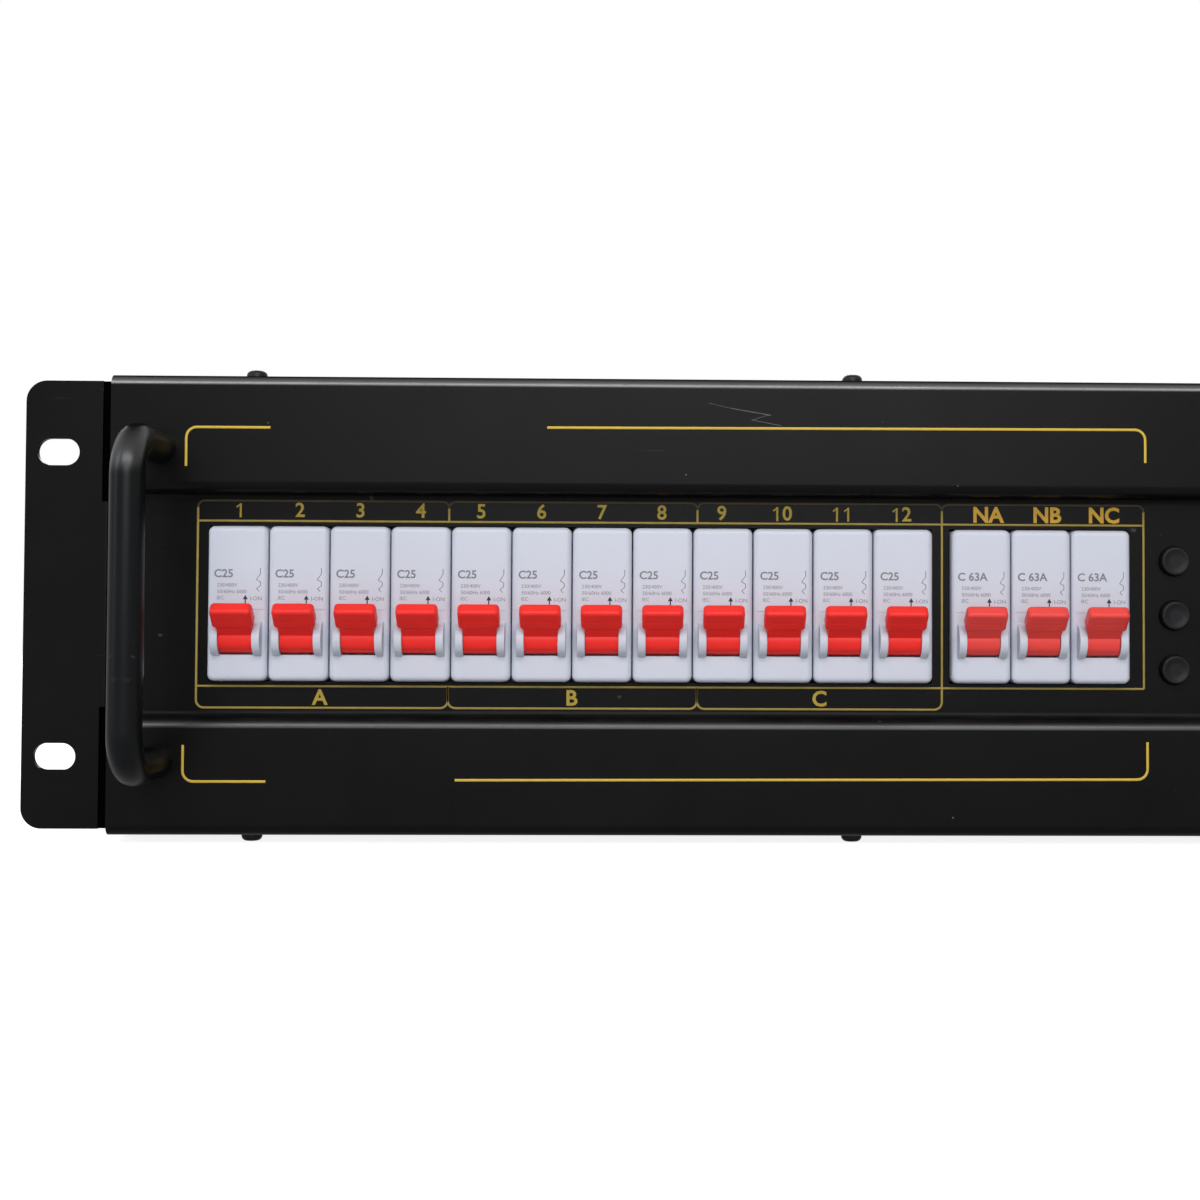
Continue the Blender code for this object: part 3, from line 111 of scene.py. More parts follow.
def at(x: float, y: float, z: float) -> Vector:
    """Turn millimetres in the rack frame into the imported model's metres."""
    return RACK + Vector((x, y, z)) * MM


def centre(node: str) -> Vector:
    """Find the middle of a CAD node's box."""
    return Vector([(low + high) / 2 for low, high in zip(*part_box(node))])


# Tests of an edge's ends or a face's corners


def lies_at(axis: Axis, value: float) -> Test:
    """Pick what lies at one place along an axis."""
    return lambda ends: all(abs(end[axis.value] - value) < SLACK for end in ends)


def runs(axis: Axis, least: float = MM) -> Test:
    """Pick the edges that run further than a least length along an axis."""
    return lambda ends: abs(ends[0][axis.value] - ends[1][axis.value]) > least


def keeps(axis: Axis) -> Test:
    """Pick the edges that don't run along an axis at all."""
    return lambda ends: abs(ends[0][axis.value] - ends[1][axis.value]) < SLACK


def on_line(axis: Axis, place: Vector) -> Test:
    """Pick the edges that lie on a line along an axis."""
    rest = [other.value for other in Axis if other is not axis]
    return lambda ends: all(sum(abs(end[i] - place[i]) for i in rest) < 2 * SLACK for end in ends)


def both(first: Test, second: Test) -> Test:
    """Pick what passes two tests."""
    return lambda ends: first(ends) and second(ends)


# Bench tools; lengths are millimetres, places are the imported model's metres


def take(*pieces: Piece) -> Piece:
    """Select only these pieces.

    Args:
        pieces: The pieces to select; the first one becomes active.

    Returns:
        The first piece.
    """
    bpy.ops.object.select_all(action="DESELECT")
    for piece in pieces:
        piece.select_set(True)
    bpy.context.view_layer.objects.active = pieces[0]
    return pieces[0]


def placed(name: str, data: bpy.types.ID) -> Piece:
    """Put data into the scene as an object.

    Args:
        name: The object's name.
        data: Its mesh, curve, lamp or camera.

    Returns:
        The object.
    """
    piece = bpy.data.objects.new(name, data)
    bpy.context.scene.collection.objects.link(piece)
    return piece


def settle(name: str) -> Piece:
    """Name the piece just added and put its place into its mesh.

    Args:
        name: The piece's name.

    Returns:
        The piece, its object at the origin.
    """
    piece = take(bpy.context.object)
    piece.name = name
    bpy.ops.object.transform_apply(location=True, rotation=True, scale=True)
    return piece


def block(name: str, low: Vector, high: Vector) -> Piece:
    """Add a box between two corners."""
    bpy.ops.mesh.primitive_cube_add(size=1, location=(low + high) / 2, scale=high - low)
    return settle(name)


def disc(name: str, place: Vector, radius: float, sides: int) -> Piece:
    """Add a flat disc that faces along Y.

    Args:
        name: The piece's name.
        place: Its middle.
        radius: Its radius.
        sides: The number of its corners.

    Returns:
        The disc.
    """
    bpy.ops.mesh.primitive_circle_add(
        vertices=sides, radius=radius * MM, fill_type="NGON", location=place, rotation=TURNS[Axis.Y]
    )
    return settle(name)


def rod(
    name: str, start: Vector, length: float, radius: float, sides: int = 40, axis: Axis = Axis.Y
) -> Piece:
    """Add a round bar.

    Args:
        name: The piece's name.
        start: The middle of its low end.
        length: How far it runs along the axis.
        radius: Its radius.
        sides: The number of its flats.
        axis: The way it runs.

    Returns:
        The bar.
    """
    middle = start + Matrix.Identity(3)[axis.value] * (length * MM / 2)
    bpy.ops.mesh.primitive_cylinder_add(
        vertices=sides,
        radius=radius * MM,
        depth=length * MM,
        location=middle,
        rotation=TURNS[axis],
    )
    return settle(name)


def pick(piece: Piece, kind: Pick, test: Test) -> None:
    """Enter edit mode and select by place.

    Args:
        piece: The piece to shape.
        kind: Edges or faces.
        test: Says of an item's corners whether it is selected.
    """
    take(piece)
    bpy.ops.object.mode_set(mode="EDIT")
    bpy.ops.mesh.select_mode(type=kind.value)
    bpy.ops.mesh.select_all(action="DESELECT")
    shape = bmesh.from_edit_mesh(piece.data)
    for item in shape.edges if kind is Pick.EDGES else shape.faces:
        item.select_set(test([vertex.co.copy() for vertex in item.verts]))
    bmesh.update_edit_mesh(piece.data)


def put_down() -> None:
    """Leave edit mode."""
    bpy.ops.object.mode_set(mode="OBJECT")


def pull(y: float, z: float) -> None:
    """Pull what is selected out of the piece."""
    bpy.ops.mesh.extrude_region_move(TRANSFORM_OT_translate={"value": (0, y * MM, z * MM)})


def round_edges(piece: Piece, test: Test, width: float, steps: int) -> Piece:
    """Round the edges that a test picks.

    Args:
        piece: The piece to shape.
        test: Says of an edge's two ends whether it is rounded.
        width: The rounding's width.
        steps: The number of its flats.

    Returns:
        The piece.
    """
    pick(piece, Pick.EDGES, test)
    bpy.ops.mesh.bevel(offset=width * MM, segments=steps, affect="EDGES")
    put_down()
    return piece


def dished(piece: Piece, test: Test, *steps: Pair) -> Piece:
    """Inset the faces that a test picks, step by step.

    Args:
        piece: The piece to shape.
        test: Says of a face's corners whether it is inset.
        steps: How far each step goes in and how far it rises.

    Returns:
        The piece.
    """
    pick(piece, Pick.FACES, test)
    for thickness, depth in steps:
        bpy.ops.mesh.inset(thickness=thickness * MM, depth=depth * MM)
    put_down()
    return piece


def worked(piece: Piece, kind: str, **settings: object) -> Piece:
    """Add one modifier and apply it.

    Args:
        piece: The piece to shape.
        kind: Blender's name of the modifier.
        settings: The modifier's settings.

    Returns:
        The piece.
    """
    take(piece)
    modifier = piece.modifiers.new(kind.lower(), kind)
    for name, value in settings.items():
        setattr(modifier, name, value)
    bpy.ops.object.modifier_apply(modifier=modifier.name)
    return piece


def machined(piece: Piece, operation: str, tools: tuple[Piece, ...]) -> Piece:
    """Work on a piece with other solids, and clear them away.

    Args:
        piece: The piece to shape.
        operation: DIFFERENCE or UNION.
        tools: The other solids.

    Returns:
        The piece.
    """
    for tool in tools:
        worked(piece, "BOOLEAN", object=tool, operation=operation, solver="EXACT")
        bpy.data.objects.remove(tool)
    return piece


def cut(piece: Piece, *tools: Piece) -> Piece:
    """Cut tools from a piece."""
    return machined(piece, "DIFFERENCE", tools)


def fused(piece: Piece, *others: Piece) -> Piece:
    """Join other solids to a piece."""
    return machined(piece, "UNION", others)


def smoothed(piece: Piece, angle: float = SHARP) -> Piece:
    """Shade a piece smooth.

    Args:
        piece: The piece to shade.
        angle: The largest angle that is shaded smooth.

    Returns:
        The piece.
    """
    take(piece)
    bpy.ops.object.shade_smooth_by_angle(angle=angle)
    return piece


def shaded(piece: Piece) -> Piece:
    """Shade a piece smooth, its large flat faces kept flat."""
    return worked(smoothed(piece, SMOOTH), "WEIGHTED_NORMAL", keep_sharp=True, weight=80)


def softened(piece: Piece, width: float, steps: int = 2) -> Piece:
    """Break the sharp edges and shade the piece."""
    limit = {"limit_method": "ANGLE", "angle_limit": SHARP}
    return shaded(worked(piece, "BEVEL", width=width * MM, segments=steps, **limit))


def cleaned(piece: Piece, merge: float = 0.0, flatten: bool = True) -> Piece:
    """Turn every face of a piece outward.

    Args:
        piece: The piece to clean.
        merge: How near two corners are to be merged.
        flatten: Whether the seams of flat faces are melted.

    Returns:
        The piece.
    """
    take(piece)
    bpy.ops.object.mode_set(mode="EDIT")
    bpy.ops.mesh.select_all(action="SELECT")
    if merge:
        bpy.ops.mesh.remove_doubles(threshold=merge * MM)
    if flatten:
        bpy.ops.mesh.dissolve_limited(angle_limit=FLAT)
    bpy.ops.mesh.normals_make_consistent(inside=False)
    put_down()
    return piece


def joined(name: str, pieces: list[Piece]) -> Piece:
    """Make one piece of several.

    Args:
        name: The new piece's name.
        pieces: The pieces to join.

    Returns:
        The joined piece.
    """
    whole = take(*pieces)
    if len(pieces) > 1:
        bpy.ops.object.join()
    whole.name = name
    return whole


def copied(pattern: Piece, name: str, move: Matrix) -> Piece:
    """Copy a piece with its own mesh.

    Args:
        pattern: The piece to copy.
        name: The copy's name.
        move: How the copy is moved.

    Returns:
        The copy.
    """
    twin = placed(name, pattern.data.copy())
    twin.data.transform(move)
    return twin


def from_node(node: str, name: str, width: float) -> Piece:
    """Copy a CAD node, merge its loose triangles and break its edges.

    Args:
        node: The CAD node.
        name: The copy's name.
        width: The width of the broken edge.

    Returns:
        The finished copy.
    """
    piece = placed(name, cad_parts[node].data.copy())
    piece.data.materials.clear()
    return softened(cleaned(piece, 0.005), width)


def lettering(words: str, height: float, middle: Vector, weight: float = 0.0) -> Piece:
    """Make raised characters that face the front.

    Args:
        words: The characters.
        height: The height of the letter body.
        middle: The middle of the word, on the surface that carries it.
        weight: How much each stroke is thickened.

    Returns:
        The characters as a mesh.
    """
    bpy.ops.object.text_add()
    text = bpy.context.object.data
    text.body = words
    text.size = height * MM / LETTER_BODY
    text.align_x = text.align_y = "CENTER"
    text.extrude = LETTER_DEPTH
    text.offset = weight * MM
    text.resolution_u = 3
    bpy.ops.object.convert(target="MESH")
    piece = bpy.context.object
    piece.data.transform(Matrix.Translation(middle) @ Matrix.Rotation(pi / 2, 4, "X"))
    return piece


def ink_line(corners: list[Vector], width: float, radius: float = 0.1) -> Piece:
    """Draw a printed line with rounded corners on a surface that faces the front.

    Args:
        corners: The line's corners, on the surface.
        width: The line's width.
        radius: The radius of its corners.

    Returns:
        The line, standing just proud of the surface.
    """
    knots = [corners[0]]
    for before, corner, after in zip(corners, corners[1:], corners[2:]):
        into = (before - corner).normalized() * (radius * MM)
        out = (after - corner).normalized() * (radius * MM)
        for step in range(7):
            angle = step * pi / 12
            knots.append(corner + into + out - out * cos(angle) - into * sin(angle))
    knots.append(corners[-1])
    half = width * MM / 2
    curve = bpy.data.curves.new("line", "CURVE")
    curve.dimensions = "3D"
    curve.bevel_depth = half
    curve.bevel_resolution = 1
    curve.use_fill_caps = True
    spline = curve.splines.new("POLY")
    spline.points.add(len(knots) - 1)
    for knot, place in zip(spline.points, knots):
        knot.co = (*place, 1)
    take(placed("line", curve))
    bpy.ops.object.convert(target="MESH")
    piece = bpy.context.object
    level = corners[0].y
    for vertex in piece.data.vertices:
        vertex.co.y = level + (vertex.co.y - level) * LINE_DEPTH / half
    return piece


def inked(lines: list[list[Pair]], y: float, width: float, radius: float = 0.1) -> list[Piece]:
    """Draw lines, given by x and z of their corners, at one depth of the rack frame."""
    return [ink_line([at(x, y, z) for x, z in line], width, radius) for line in lines]


# Finishes


class Wiring:
    """A node tree that is being wired."""

    def __init__(self, tree: bpy.types.NodeTree) -> None:
        """Start on a tree."""
        self.tree = tree

    def fill(self, node: Node, feeds: dict) -> None:
        """Feed a node's inputs.

        Args:
            node: The node.
            feeds: A socket or a value for each input, by its name or place.
        """
        for key, value in feeds.items():
            if isinstance(value, Socket):
                self.tree.links.new(value, node.inputs[key])
            else:
                node.inputs[key].default_value = value

    def add(self, kind: str, feeds: dict | None = None, **settings: object) -> Node:
        """Add a node.

        Args:
            kind: Blender's type name of the node, without its ShaderNode prefix.
            feeds: What its inputs are fed with.
            settings: The node's own settings.

        Returns:
            The node.
        """
        node = self.tree.nodes.new(kind if kind.startswith("Node") else "ShaderNode" + kind)
        for name, value in settings.items():
            setattr(node, name, value)
        self.fill(node, feeds or {})
        return node

    def maths(self, operation: str, *values: object) -> Socket:
        """Add a maths node on sockets or numbers."""
        return self.add("Math", dict(enumerate(values)), operation=operation).outputs[0]

    def product(self, first: object, *others: object) -> Socket:
        """Multiply sockets or numbers.

        Args:
            first: The first factor.
            others: The other factors.

        Returns:
            The product's socket.
        """
        for other in others:
            first = self.maths("MULTIPLY", first, other)
        return first

    def spread(self, value: object, low: float, high: float) -> Socket:
        """Stretch a value's range to 0 to 1, smoothly and clamped."""
        feeds = {0: value, 1: low, 2: high}
        return self.add("MapRange", feeds, interpolation_type="SMOOTHSTEP").outputs[0]

    def parts(self, kind: str, output: str) -> dict[str, Socket]:
        """Split what a node says of a place into X, Y and Z."""
        return self.add("SeparateXYZ", {0: self.add(kind).outputs[output]}).outputs

    def noise(self, scale: object, detail: float, stretch: Triple = (1, 1, 1)) -> Socket:
        """Add noise on Object coordinates.

        Args:
            scale: Its scale, a socket or a number.
            detail: The number of its octaves.
            stretch: The scale along each direction.

        Returns:
            The noise's value.
        """
        place = self.add("TexCoord").outputs["Object"]
        mapping = self.add("Mapping", {"Vector": place, "Scale": stretch})
        feeds = {"Vector": mapping.outputs[0], "Scale": scale, "Detail": detail}
        return self.add("TexNoise", feeds).outputs[0]

    def bump(self, height: Socket, strength: float, **below: Socket) -> Socket:
        """Raise a skin by a height, over the relief below where it has one."""
        feeds = {"Strength": strength, "Distance": MM, "Height": height, **below}
        return self.add("Bump", feeds).outputs[0]

    def effect(self, draw: Callable[["Wiring", Sockets], Sockets], **values: float) -> Sockets:
        """Add a shared node group, which is drawn on its first use.

        Args:
            draw: Draws the group's nodes on its inputs and says what feeds its outputs.
            values: The group's inputs.

        Returns:
            The group's outputs.
        """
        tree = bpy.data.node_groups.get(draw.__name__)
        if tree is None:
            tree = bpy.data.node_groups.new(draw.__name__, "ShaderNodeTree")
            kind = {"socket_type": "NodeSocketFloat"}
            for label in values:
                tree.interface.new_socket(name=label, in_out="INPUT", **kind)
            inner = Wiring(tree)
            made = draw(inner, inner.add("NodeGroupInput").outputs)
            for label in made:
                tree.interface.new_socket(name=label, in_out="OUTPUT", **kind)
            inner.add("NodeGroupOutput", made)
        return self.add("Group", values, node_tree=tree).outputs


def skin_grain(wiring: Wiring, given: Sockets) -> Sockets:
    """Draw fine and coarse grain for painted and moulded skins."""
    return {"Height": wiring.noise(given["Fine"], 2), "Tone": wiring.noise(given["Coarse"], 4)}


def rub_marks(wiring: Wiring, given: Sockets) -> Sockets:
    """Draw rub marks, thin scratches and chipped specks.

    Args:
        wiring: The group's wiring.
        given: Its inputs Rubs and Specks.

    Returns:
        Its output Mask.
    """
    patch = wiring.spread(wiring.noise(22.0, 3, (0.35, 1, 2.6)), 0.55, 0.75)
    thin = wiring.spread(wiring.noise(420.0, 2, (0.06, 1, 0.9)), 0.66, 0.74)
    dots = wiring.spread(wiring.noise(330.0, 1), 0.79, 0.83)
    rubs = wiring.product(thin, patch, given["Rubs"])
    return {"Mask": wiring.maths("ADD", rubs, wiring.product(dots, given["Specks"]))}


def settled_dust(wiring: Wiring, given: Sockets) -> Sockets:
    """Draw dust that lies on faces which look up.

    Args:
        wiring: The group's wiring.
        given: Its input Amount.

    Returns:
        Its output Mask.
    """
    upward = wiring.spread(wiring.parts("NewGeometry", "Normal")["Z"], 0.2, 1.0)
    cloud = wiring.spread(wiring.noise(70.0, 6), 0.1, 0.95)
    return {"Mask": wiring.product(upward, cloud, given["Amount"])}


def fold_sheen(wiring: Wiring, given: Sockets) -> Sockets:
    """Paint a highlight on the outer folds that look forward and up, as raised specular.

    Args:
        wiring: The group's wiring.
        given: Its input Amount.

    Returns:
        Its output Mask, the painted highlight, and Upward, the tops dulled as painted shade.
    """
    slope = wiring.parts("NewGeometry", "Normal")["Z"]
    place = wiring.parts("TexCoord", "Object")
    rising = wiring.spread(slope, 0.05, 0.3)
    level = wiring.spread(slope, 0.85, 0.45)
    patchy = wiring.maths("ADD", wiring.product(wiring.noise(30.0, 3), 0.6), 0.55)
    # The painted highlight is kept to the proud parts and painted stronger on the top fold than on
    # the lower one.
    proud = wiring.spread(place["Y"], at(0, -6.5, 0).y, at(0, -10.5, 0).y)
    high = wiring.spread(place["Z"], at(0, 0, -20).z, at(0, 0, 40).z)
    shown = wiring.product(proud, wiring.maths("ADD", wiring.product(high, 0.6), 0.4))
    mask = wiring.product(rising, level, patchy, shown, given["Amount"])
    return {"Mask": mask, "Upward": wiring.spread(slope, 0.55, 0.9)}


def brushed_streaks(wiring: Wiring, given: Sockets) -> Sockets:
    """Draw the fine lines that rolling and brushing leave on metal."""
    return {"Height": wiring.noise(given["Scale"], 3, (0.03, 0.6, 1))}


class Skin(Wiring):
    """A material that is being wired, with its shader."""

    def __init__(self, name: str) -> None:
        """Make the material.

        Args:
            name: The material's name.
        """
        material = bpy.data.materials.new(name)
        material.use_nodes = True
        super().__init__(material.node_tree)
        self.shader = self.tree.nodes["Principled BSDF"]

    def below(self, label: str) -> Socket:
        """Find what feeds one of the shader's inputs so far."""
        return self.shader.inputs[label].links[0].from_socket

    def cover(self, mask: Socket, colour: Triple) -> None:
        """Lay another colour over the base where a mask is high."""
        feeds = {0: mask, 6: self.below("Base Color"), 7: (*colour, 1)}
        self.fill(self.shader, {"Base Color": self.add("Mix", feeds, data_type="RGBA").outputs[2]})


@dataclass(frozen=True)
class Finish:
    """What every finish has: a name, a colour, a roughness and its skin's grain."""

    name: str
    colour: Triple
    roughness: float
    fine: float = 3000.0
    coarse: float = 60.0
    relief: float = 0.03
    contrast: float = 0.12
    specular: float = 0.5
    metallic: float = 0.0
    coat: float = 0.0

    @property
    def label(self) -> str:
        """The material's name, apart from the CAD material of the same slot."""
        return f"{self.name}_finish"

    def start(self) -> Skin:
        """Make the material with its shader and grain.

        Returns:
            The material's skin.
        """
        skin = Skin(self.label)
        bpy.data.materials[self.label].diffuse_color = (*self.colour, 1)
        grain = skin.effect(skin_grain, Fine=self.fine, Coarse=self.coarse)
        shares = (1 - self.contrast, 1 + self.contrast)
        low, high = [(*[value * share for value in self.colour], 1) for share in shares]
        tone = skin.add("Mix", {0: grain["Tone"], 6: low, 7: high}, data_type="RGBA")
        rough = skin.maths("MULTIPLY_ADD", grain["Tone"], 0.16, self.roughness - 0.08)
        feeds = {
            "Base Color": tone.outputs[2],
            "Roughness": rough,
            "Normal": skin.bump(grain["Height"], self.relief),
            "Specular IOR Level": self.specular,
            "Metallic": self.metallic,
            "Coat Weight": self.coat,
        }
        skin.fill(skin.shader, feeds)
        return skin

    def make(self) -> None:
        """Build the material."""
        self.start()

    def material(self) -> bpy.types.Material:
        """Make this finish's material on its first use.

        Returns:
            The material.
        """
        if self.label not in bpy.data.materials:
            self.make()
        return bpy.data.materials[self.label]


@dataclass(frozen=True)
class Enamel(Finish):
    """Stoved paint on sheet steel, with rubs, specks and a little dust.

    Its outer folds get a painted highlight, and its tops lose their reflection as painted shade.
    """

    rubs: float = 0.25
    specks: float = 0.3
    worn: Triple = (0.13, 0.125, 0.12)
    settled: float = 0.12
    sheen: float = 1.0
    fading: float = 1.0

    def make(self) -> None:
        """Build the material."""
        skin = self.start()
        skin.cover(skin.effect(rub_marks, Rubs=self.rubs, Specks=self.specks)["Mask"], self.worn)
        skin.cover(skin.effect(settled_dust, Amount=self.settled)["Mask"], (0.25, 0.24, 0.22))
        # Painted highlight on the outer folds, and painted shade on faces that look up, whose
        # specular is taken away.
        folds = skin.effect(fold_sheen, Amount=self.sheen)
        kept = skin.maths("SUBTRACT", 1.0, skin.product(folds["Upward"], self.fading))
        gloss = skin.maths("ADD", folds["Mask"], skin.product(kept, self.specular))
        skin.fill(skin.shader, {"Specular IOR Level": gloss})


@dataclass(frozen=True)
class Moulding(Finish):
    """Moulded plastic with a fine spark-eroded skin and a trace of dust."""

    settled: float = 0.05

    def make(self) -> None:
        """Build the material."""
        skin = self.start()
        skin.cover(skin.effect(settled_dust, Amount=self.settled)["Mask"], (0.35, 0.33, 0.3))


@dataclass(frozen=True)
class Metal(Finish):
    """Bare or plated metal with rolling streaks."""

    metallic: float = 1.0
    streak: float = 0.08

    def make(self) -> None:
        """Build the material."""
        skin = self.start()
        height = skin.effect(brushed_streaks, Scale=900.0)["Height"]
        bump = skin.bump(height, self.streak, Normal=skin.below("Normal"))
        skin.fill(skin.shader, {"Normal": bump})


@dataclass(frozen=True)
class Winding(Finish):
    """Varnished copper wire laid round a ring."""

    pitch: float = 900.0

    def make(self) -> None:
        """Build the material."""
        skin = self.start()
        place = skin.add("TexCoord").outputs["Object"]
        feeds = {"Vector": place, "Scale": self.pitch, "Distortion": 1.5}
        wave = skin.add("TexWave", feeds, bands_direction="DIAGONAL").outputs["Fac"]
        skin.fill(skin.shader, {"Normal": skin.bump(wave, 0.5)})
        # The low bands of the wave, the grooves between the turns, are coloured darker as painted
        # shade.
        skin.cover(skin.spread(wave, 0.5, 0.0), (0.12, 0.06, 0.015))


@dataclass(frozen=True)
class Lamp(Finish):
    """A glowing or tinted lens."""

    glow: float = 0.0

    def make(self) -> None:
        """Build the material."""
        skin = self.start()
        glow = {"Emission Color": (*self.colour, 1), "Emission Strength": self.glow}
        skin.fill(skin.shader, glow)


# In these enamels the fold highlight value paints a highlight on the outer folds, and the top shade
# value takes the reflection off faces that look up, as painted shade.
BLACK_ENAMEL = Enamel(
    "black_enamel", (0.0042, 0.0039, 0.0042), 0.3, 2600, 45, 0.04, 0.25, 0.07,
    sheen=1.3, settled=0.05,
)
CASE_ENAMEL = Enamel(
    "case_enamel", (0.007, 0.0068, 0.007), 0.42, 2600, 45, 0.05, 0.1, 0.2,
    settled=0.02, sheen=0.3, fading=0.0,
)
BLACK_BAR = Enamel(
    "black_bar", (0.004, 0.0045, 0.005), 0.33, 1500, 40, 0.02, 0.2, 0.1,
    rubs=0.4, settled=0.05, sheen=0.5,
)
# Near-black, matt and without reflection: painted shade for the faces in the ears' grooves.
PAINTED_GAP_SHADE = Moulding(
    "painted_gap_shade", (0.0012, 0.0012, 0.0013), 0.8, 1800, 60, 0.02, 0.2, 0.0, settled=0.02
)
BLACK_SCREW = Metal("black_screw", (0.022, 0.022, 0.023), 0.42)
HOUSING_WHITE = Moulding("housing_white", (0.585, 0.61, 0.695), 0.42, 2200, 90, 0.02, 0.03, 0.5)
LEVER_RED = Moulding("lever_red", (0.95, 0.03, 0.024), 0.34, 2200, 200, 0.02, 0.06, 0.2)
LEVER_CORAL = Moulding("lever_coral", (0.88, 0.07, 0.06), 0.34, 2200, 200, 0.02, 0.06, 0.2)
BUTTON_BLACK = Moulding("button_black", (0.006, 0.006, 0.007), 0.4, 1800, 120, 0.04, 0.15, 0.15)
MODULE_BLACK = Moulding("module_black", (0.014, 0.014, 0.016), 0.42, 1800, 60, 0.04, 0.15, 0.25)
FAN_BLACK = Moulding("fan_black", (0.012, 0.012, 0.013), 0.36, 1800, 60, 0.03, 0.12, 0.3)
TERMINAL_GREY = Moulding("terminal_grey", (0.3, 0.31, 0.32), 0.5, 1800, 60, 0.04, 0.08, 0.4)
GLAND_GREY = Moulding("gland_grey", (0.22, 0.23, 0.24), 0.5, 1800, 60, 0.04, 0.08, 0.4)
HEADER_CREAM = Moulding("header_cream", (0.55, 0.5, 0.38), 0.5, 1800, 60, 0.03, 0.06, 0.4)
BOARD_GREEN = Finish("board_green", (0.012, 0.1, 0.035), 0.32, 700, 260, 0.03, 0.35, 0.5)
ZINC = Metal("zinc", (0.62, 0.62, 0.6), 0.36)
ALUMINIUM = Metal("aluminium", (0.72, 0.73, 0.74), 0.34)
COPPER = Metal("copper", (0.78, 0.36, 0.2), 0.3)
BRASS = Metal("brass", (0.75, 0.55, 0.25), 0.3)
CHOKE_OCHRE = Winding("choke_ochre", (0.45, 0.2, 0.045), 0.35, 1500, 80, 0.03, 0.2, 0.5)
BAND_GOLD = Finish("band_gold", (0.66, 0.45, 0.06), 0.5, 2500, 300, 0.03, 0.1, 0.3)
PLATE_GOLD = Finish("plate_gold", (0.34, 0.25, 0.055), 0.55, 2500, 300, 0.03, 0.25, 0.3)
SCRATCH_GREY = Finish("scratch_grey", (0.2, 0.2, 0.2), 0.6, 2500, 300, 0.02, 0.4, 0.1)
# A dim gold: the plate's print darkened as painted shadow, for the top lines under the upper band.
PAINTED_SHADOW_GOLD = Finish("painted_shadow_gold", (0.06, 0.045, 0.02), 0.55, 2500, 120, 0.03, 0.5, 0.2)
SIGN_GOLD = Finish("sign_gold", (0.42, 0.3, 0.035), 0.55, 2500, 300, 0.03, 0.25, 0.3)
MAINS_GOLD = Finish("mains_gold", (0.66, 0.37, 0.035), 0.55, 2500, 300, 0.03, 0.25, 0.3)
PRINT_GREY = Finish("print_grey", (0.2, 0.2, 0.23), 0.6, 2500, 500, 0.02, 0.3, 0.3)
PRINT_DARK = Finish("print_dark", (0.03, 0.03, 0.035), 0.6, 2500, 500, 0.02, 0.2, 0.3)
FILTER_RED = Finish("filter_red", (0.05, 0.004, 0.005), 0.12, 1200, 60, 0.005, 0.1, 0.5, coat=0.6)
SEGMENT_LIT = Lamp("segment_lit", (1.0, 0.06, 0.03), 0.4, glow=1.1)
SEGMENT_DARK = Lamp("segment_dark", (0.09, 0.01, 0.01), 0.4)
LAMP_RED = Lamp("lamp_red", (0.5, 0.02, 0.015), 0.18, coat=0.6, glow=0.05)
LAMP_GREEN = Lamp("lamp_green", (0.03, 0.7, 0.1), 0.18, coat=0.6, glow=0.6)


def wear(piece: Piece, look: Finish) -> None:
    """Give a piece one finish all over."""
    piece.data.materials.clear()
    piece.data.materials.append(look.material())


def dress(
    piece: Piece, look: Finish, node: str = "", body: str = STILL
) -> Piece:
    """Give a piece its finish and its body, and hide the CAD node that it stands for.

    Args:
        piece: The finished piece.
        look: Its finish.
        node: The CAD node that it stands for, if it stands for one.
        body: The CAD body that it rides on.

    Returns:
        The piece.
    """
    wear(piece, look)
    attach(piece, body)
    if node:
        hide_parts(node)
    LOG.info("%s: %d faces on %s", piece.name, len(piece.data.polygons), body)
    return piece


def two_tone(piece: Piece, look: Finish, test: Callable[[Vector], bool]) -> None:
    """Give a second finish to the faces whose middle passes a test.

    Args:
        piece: A piece that is already dressed.
        look: The second finish.
        test: Says of a face's middle whether it takes the finish.
    """
    piece.data.materials.append(look.material())
    last = len(piece.data.materials) - 1
    for face in piece.data.polygons:
        if test(face.center):
            face.material_index = last


# Sub-assemblies; lengths are millimetres in the rack frame


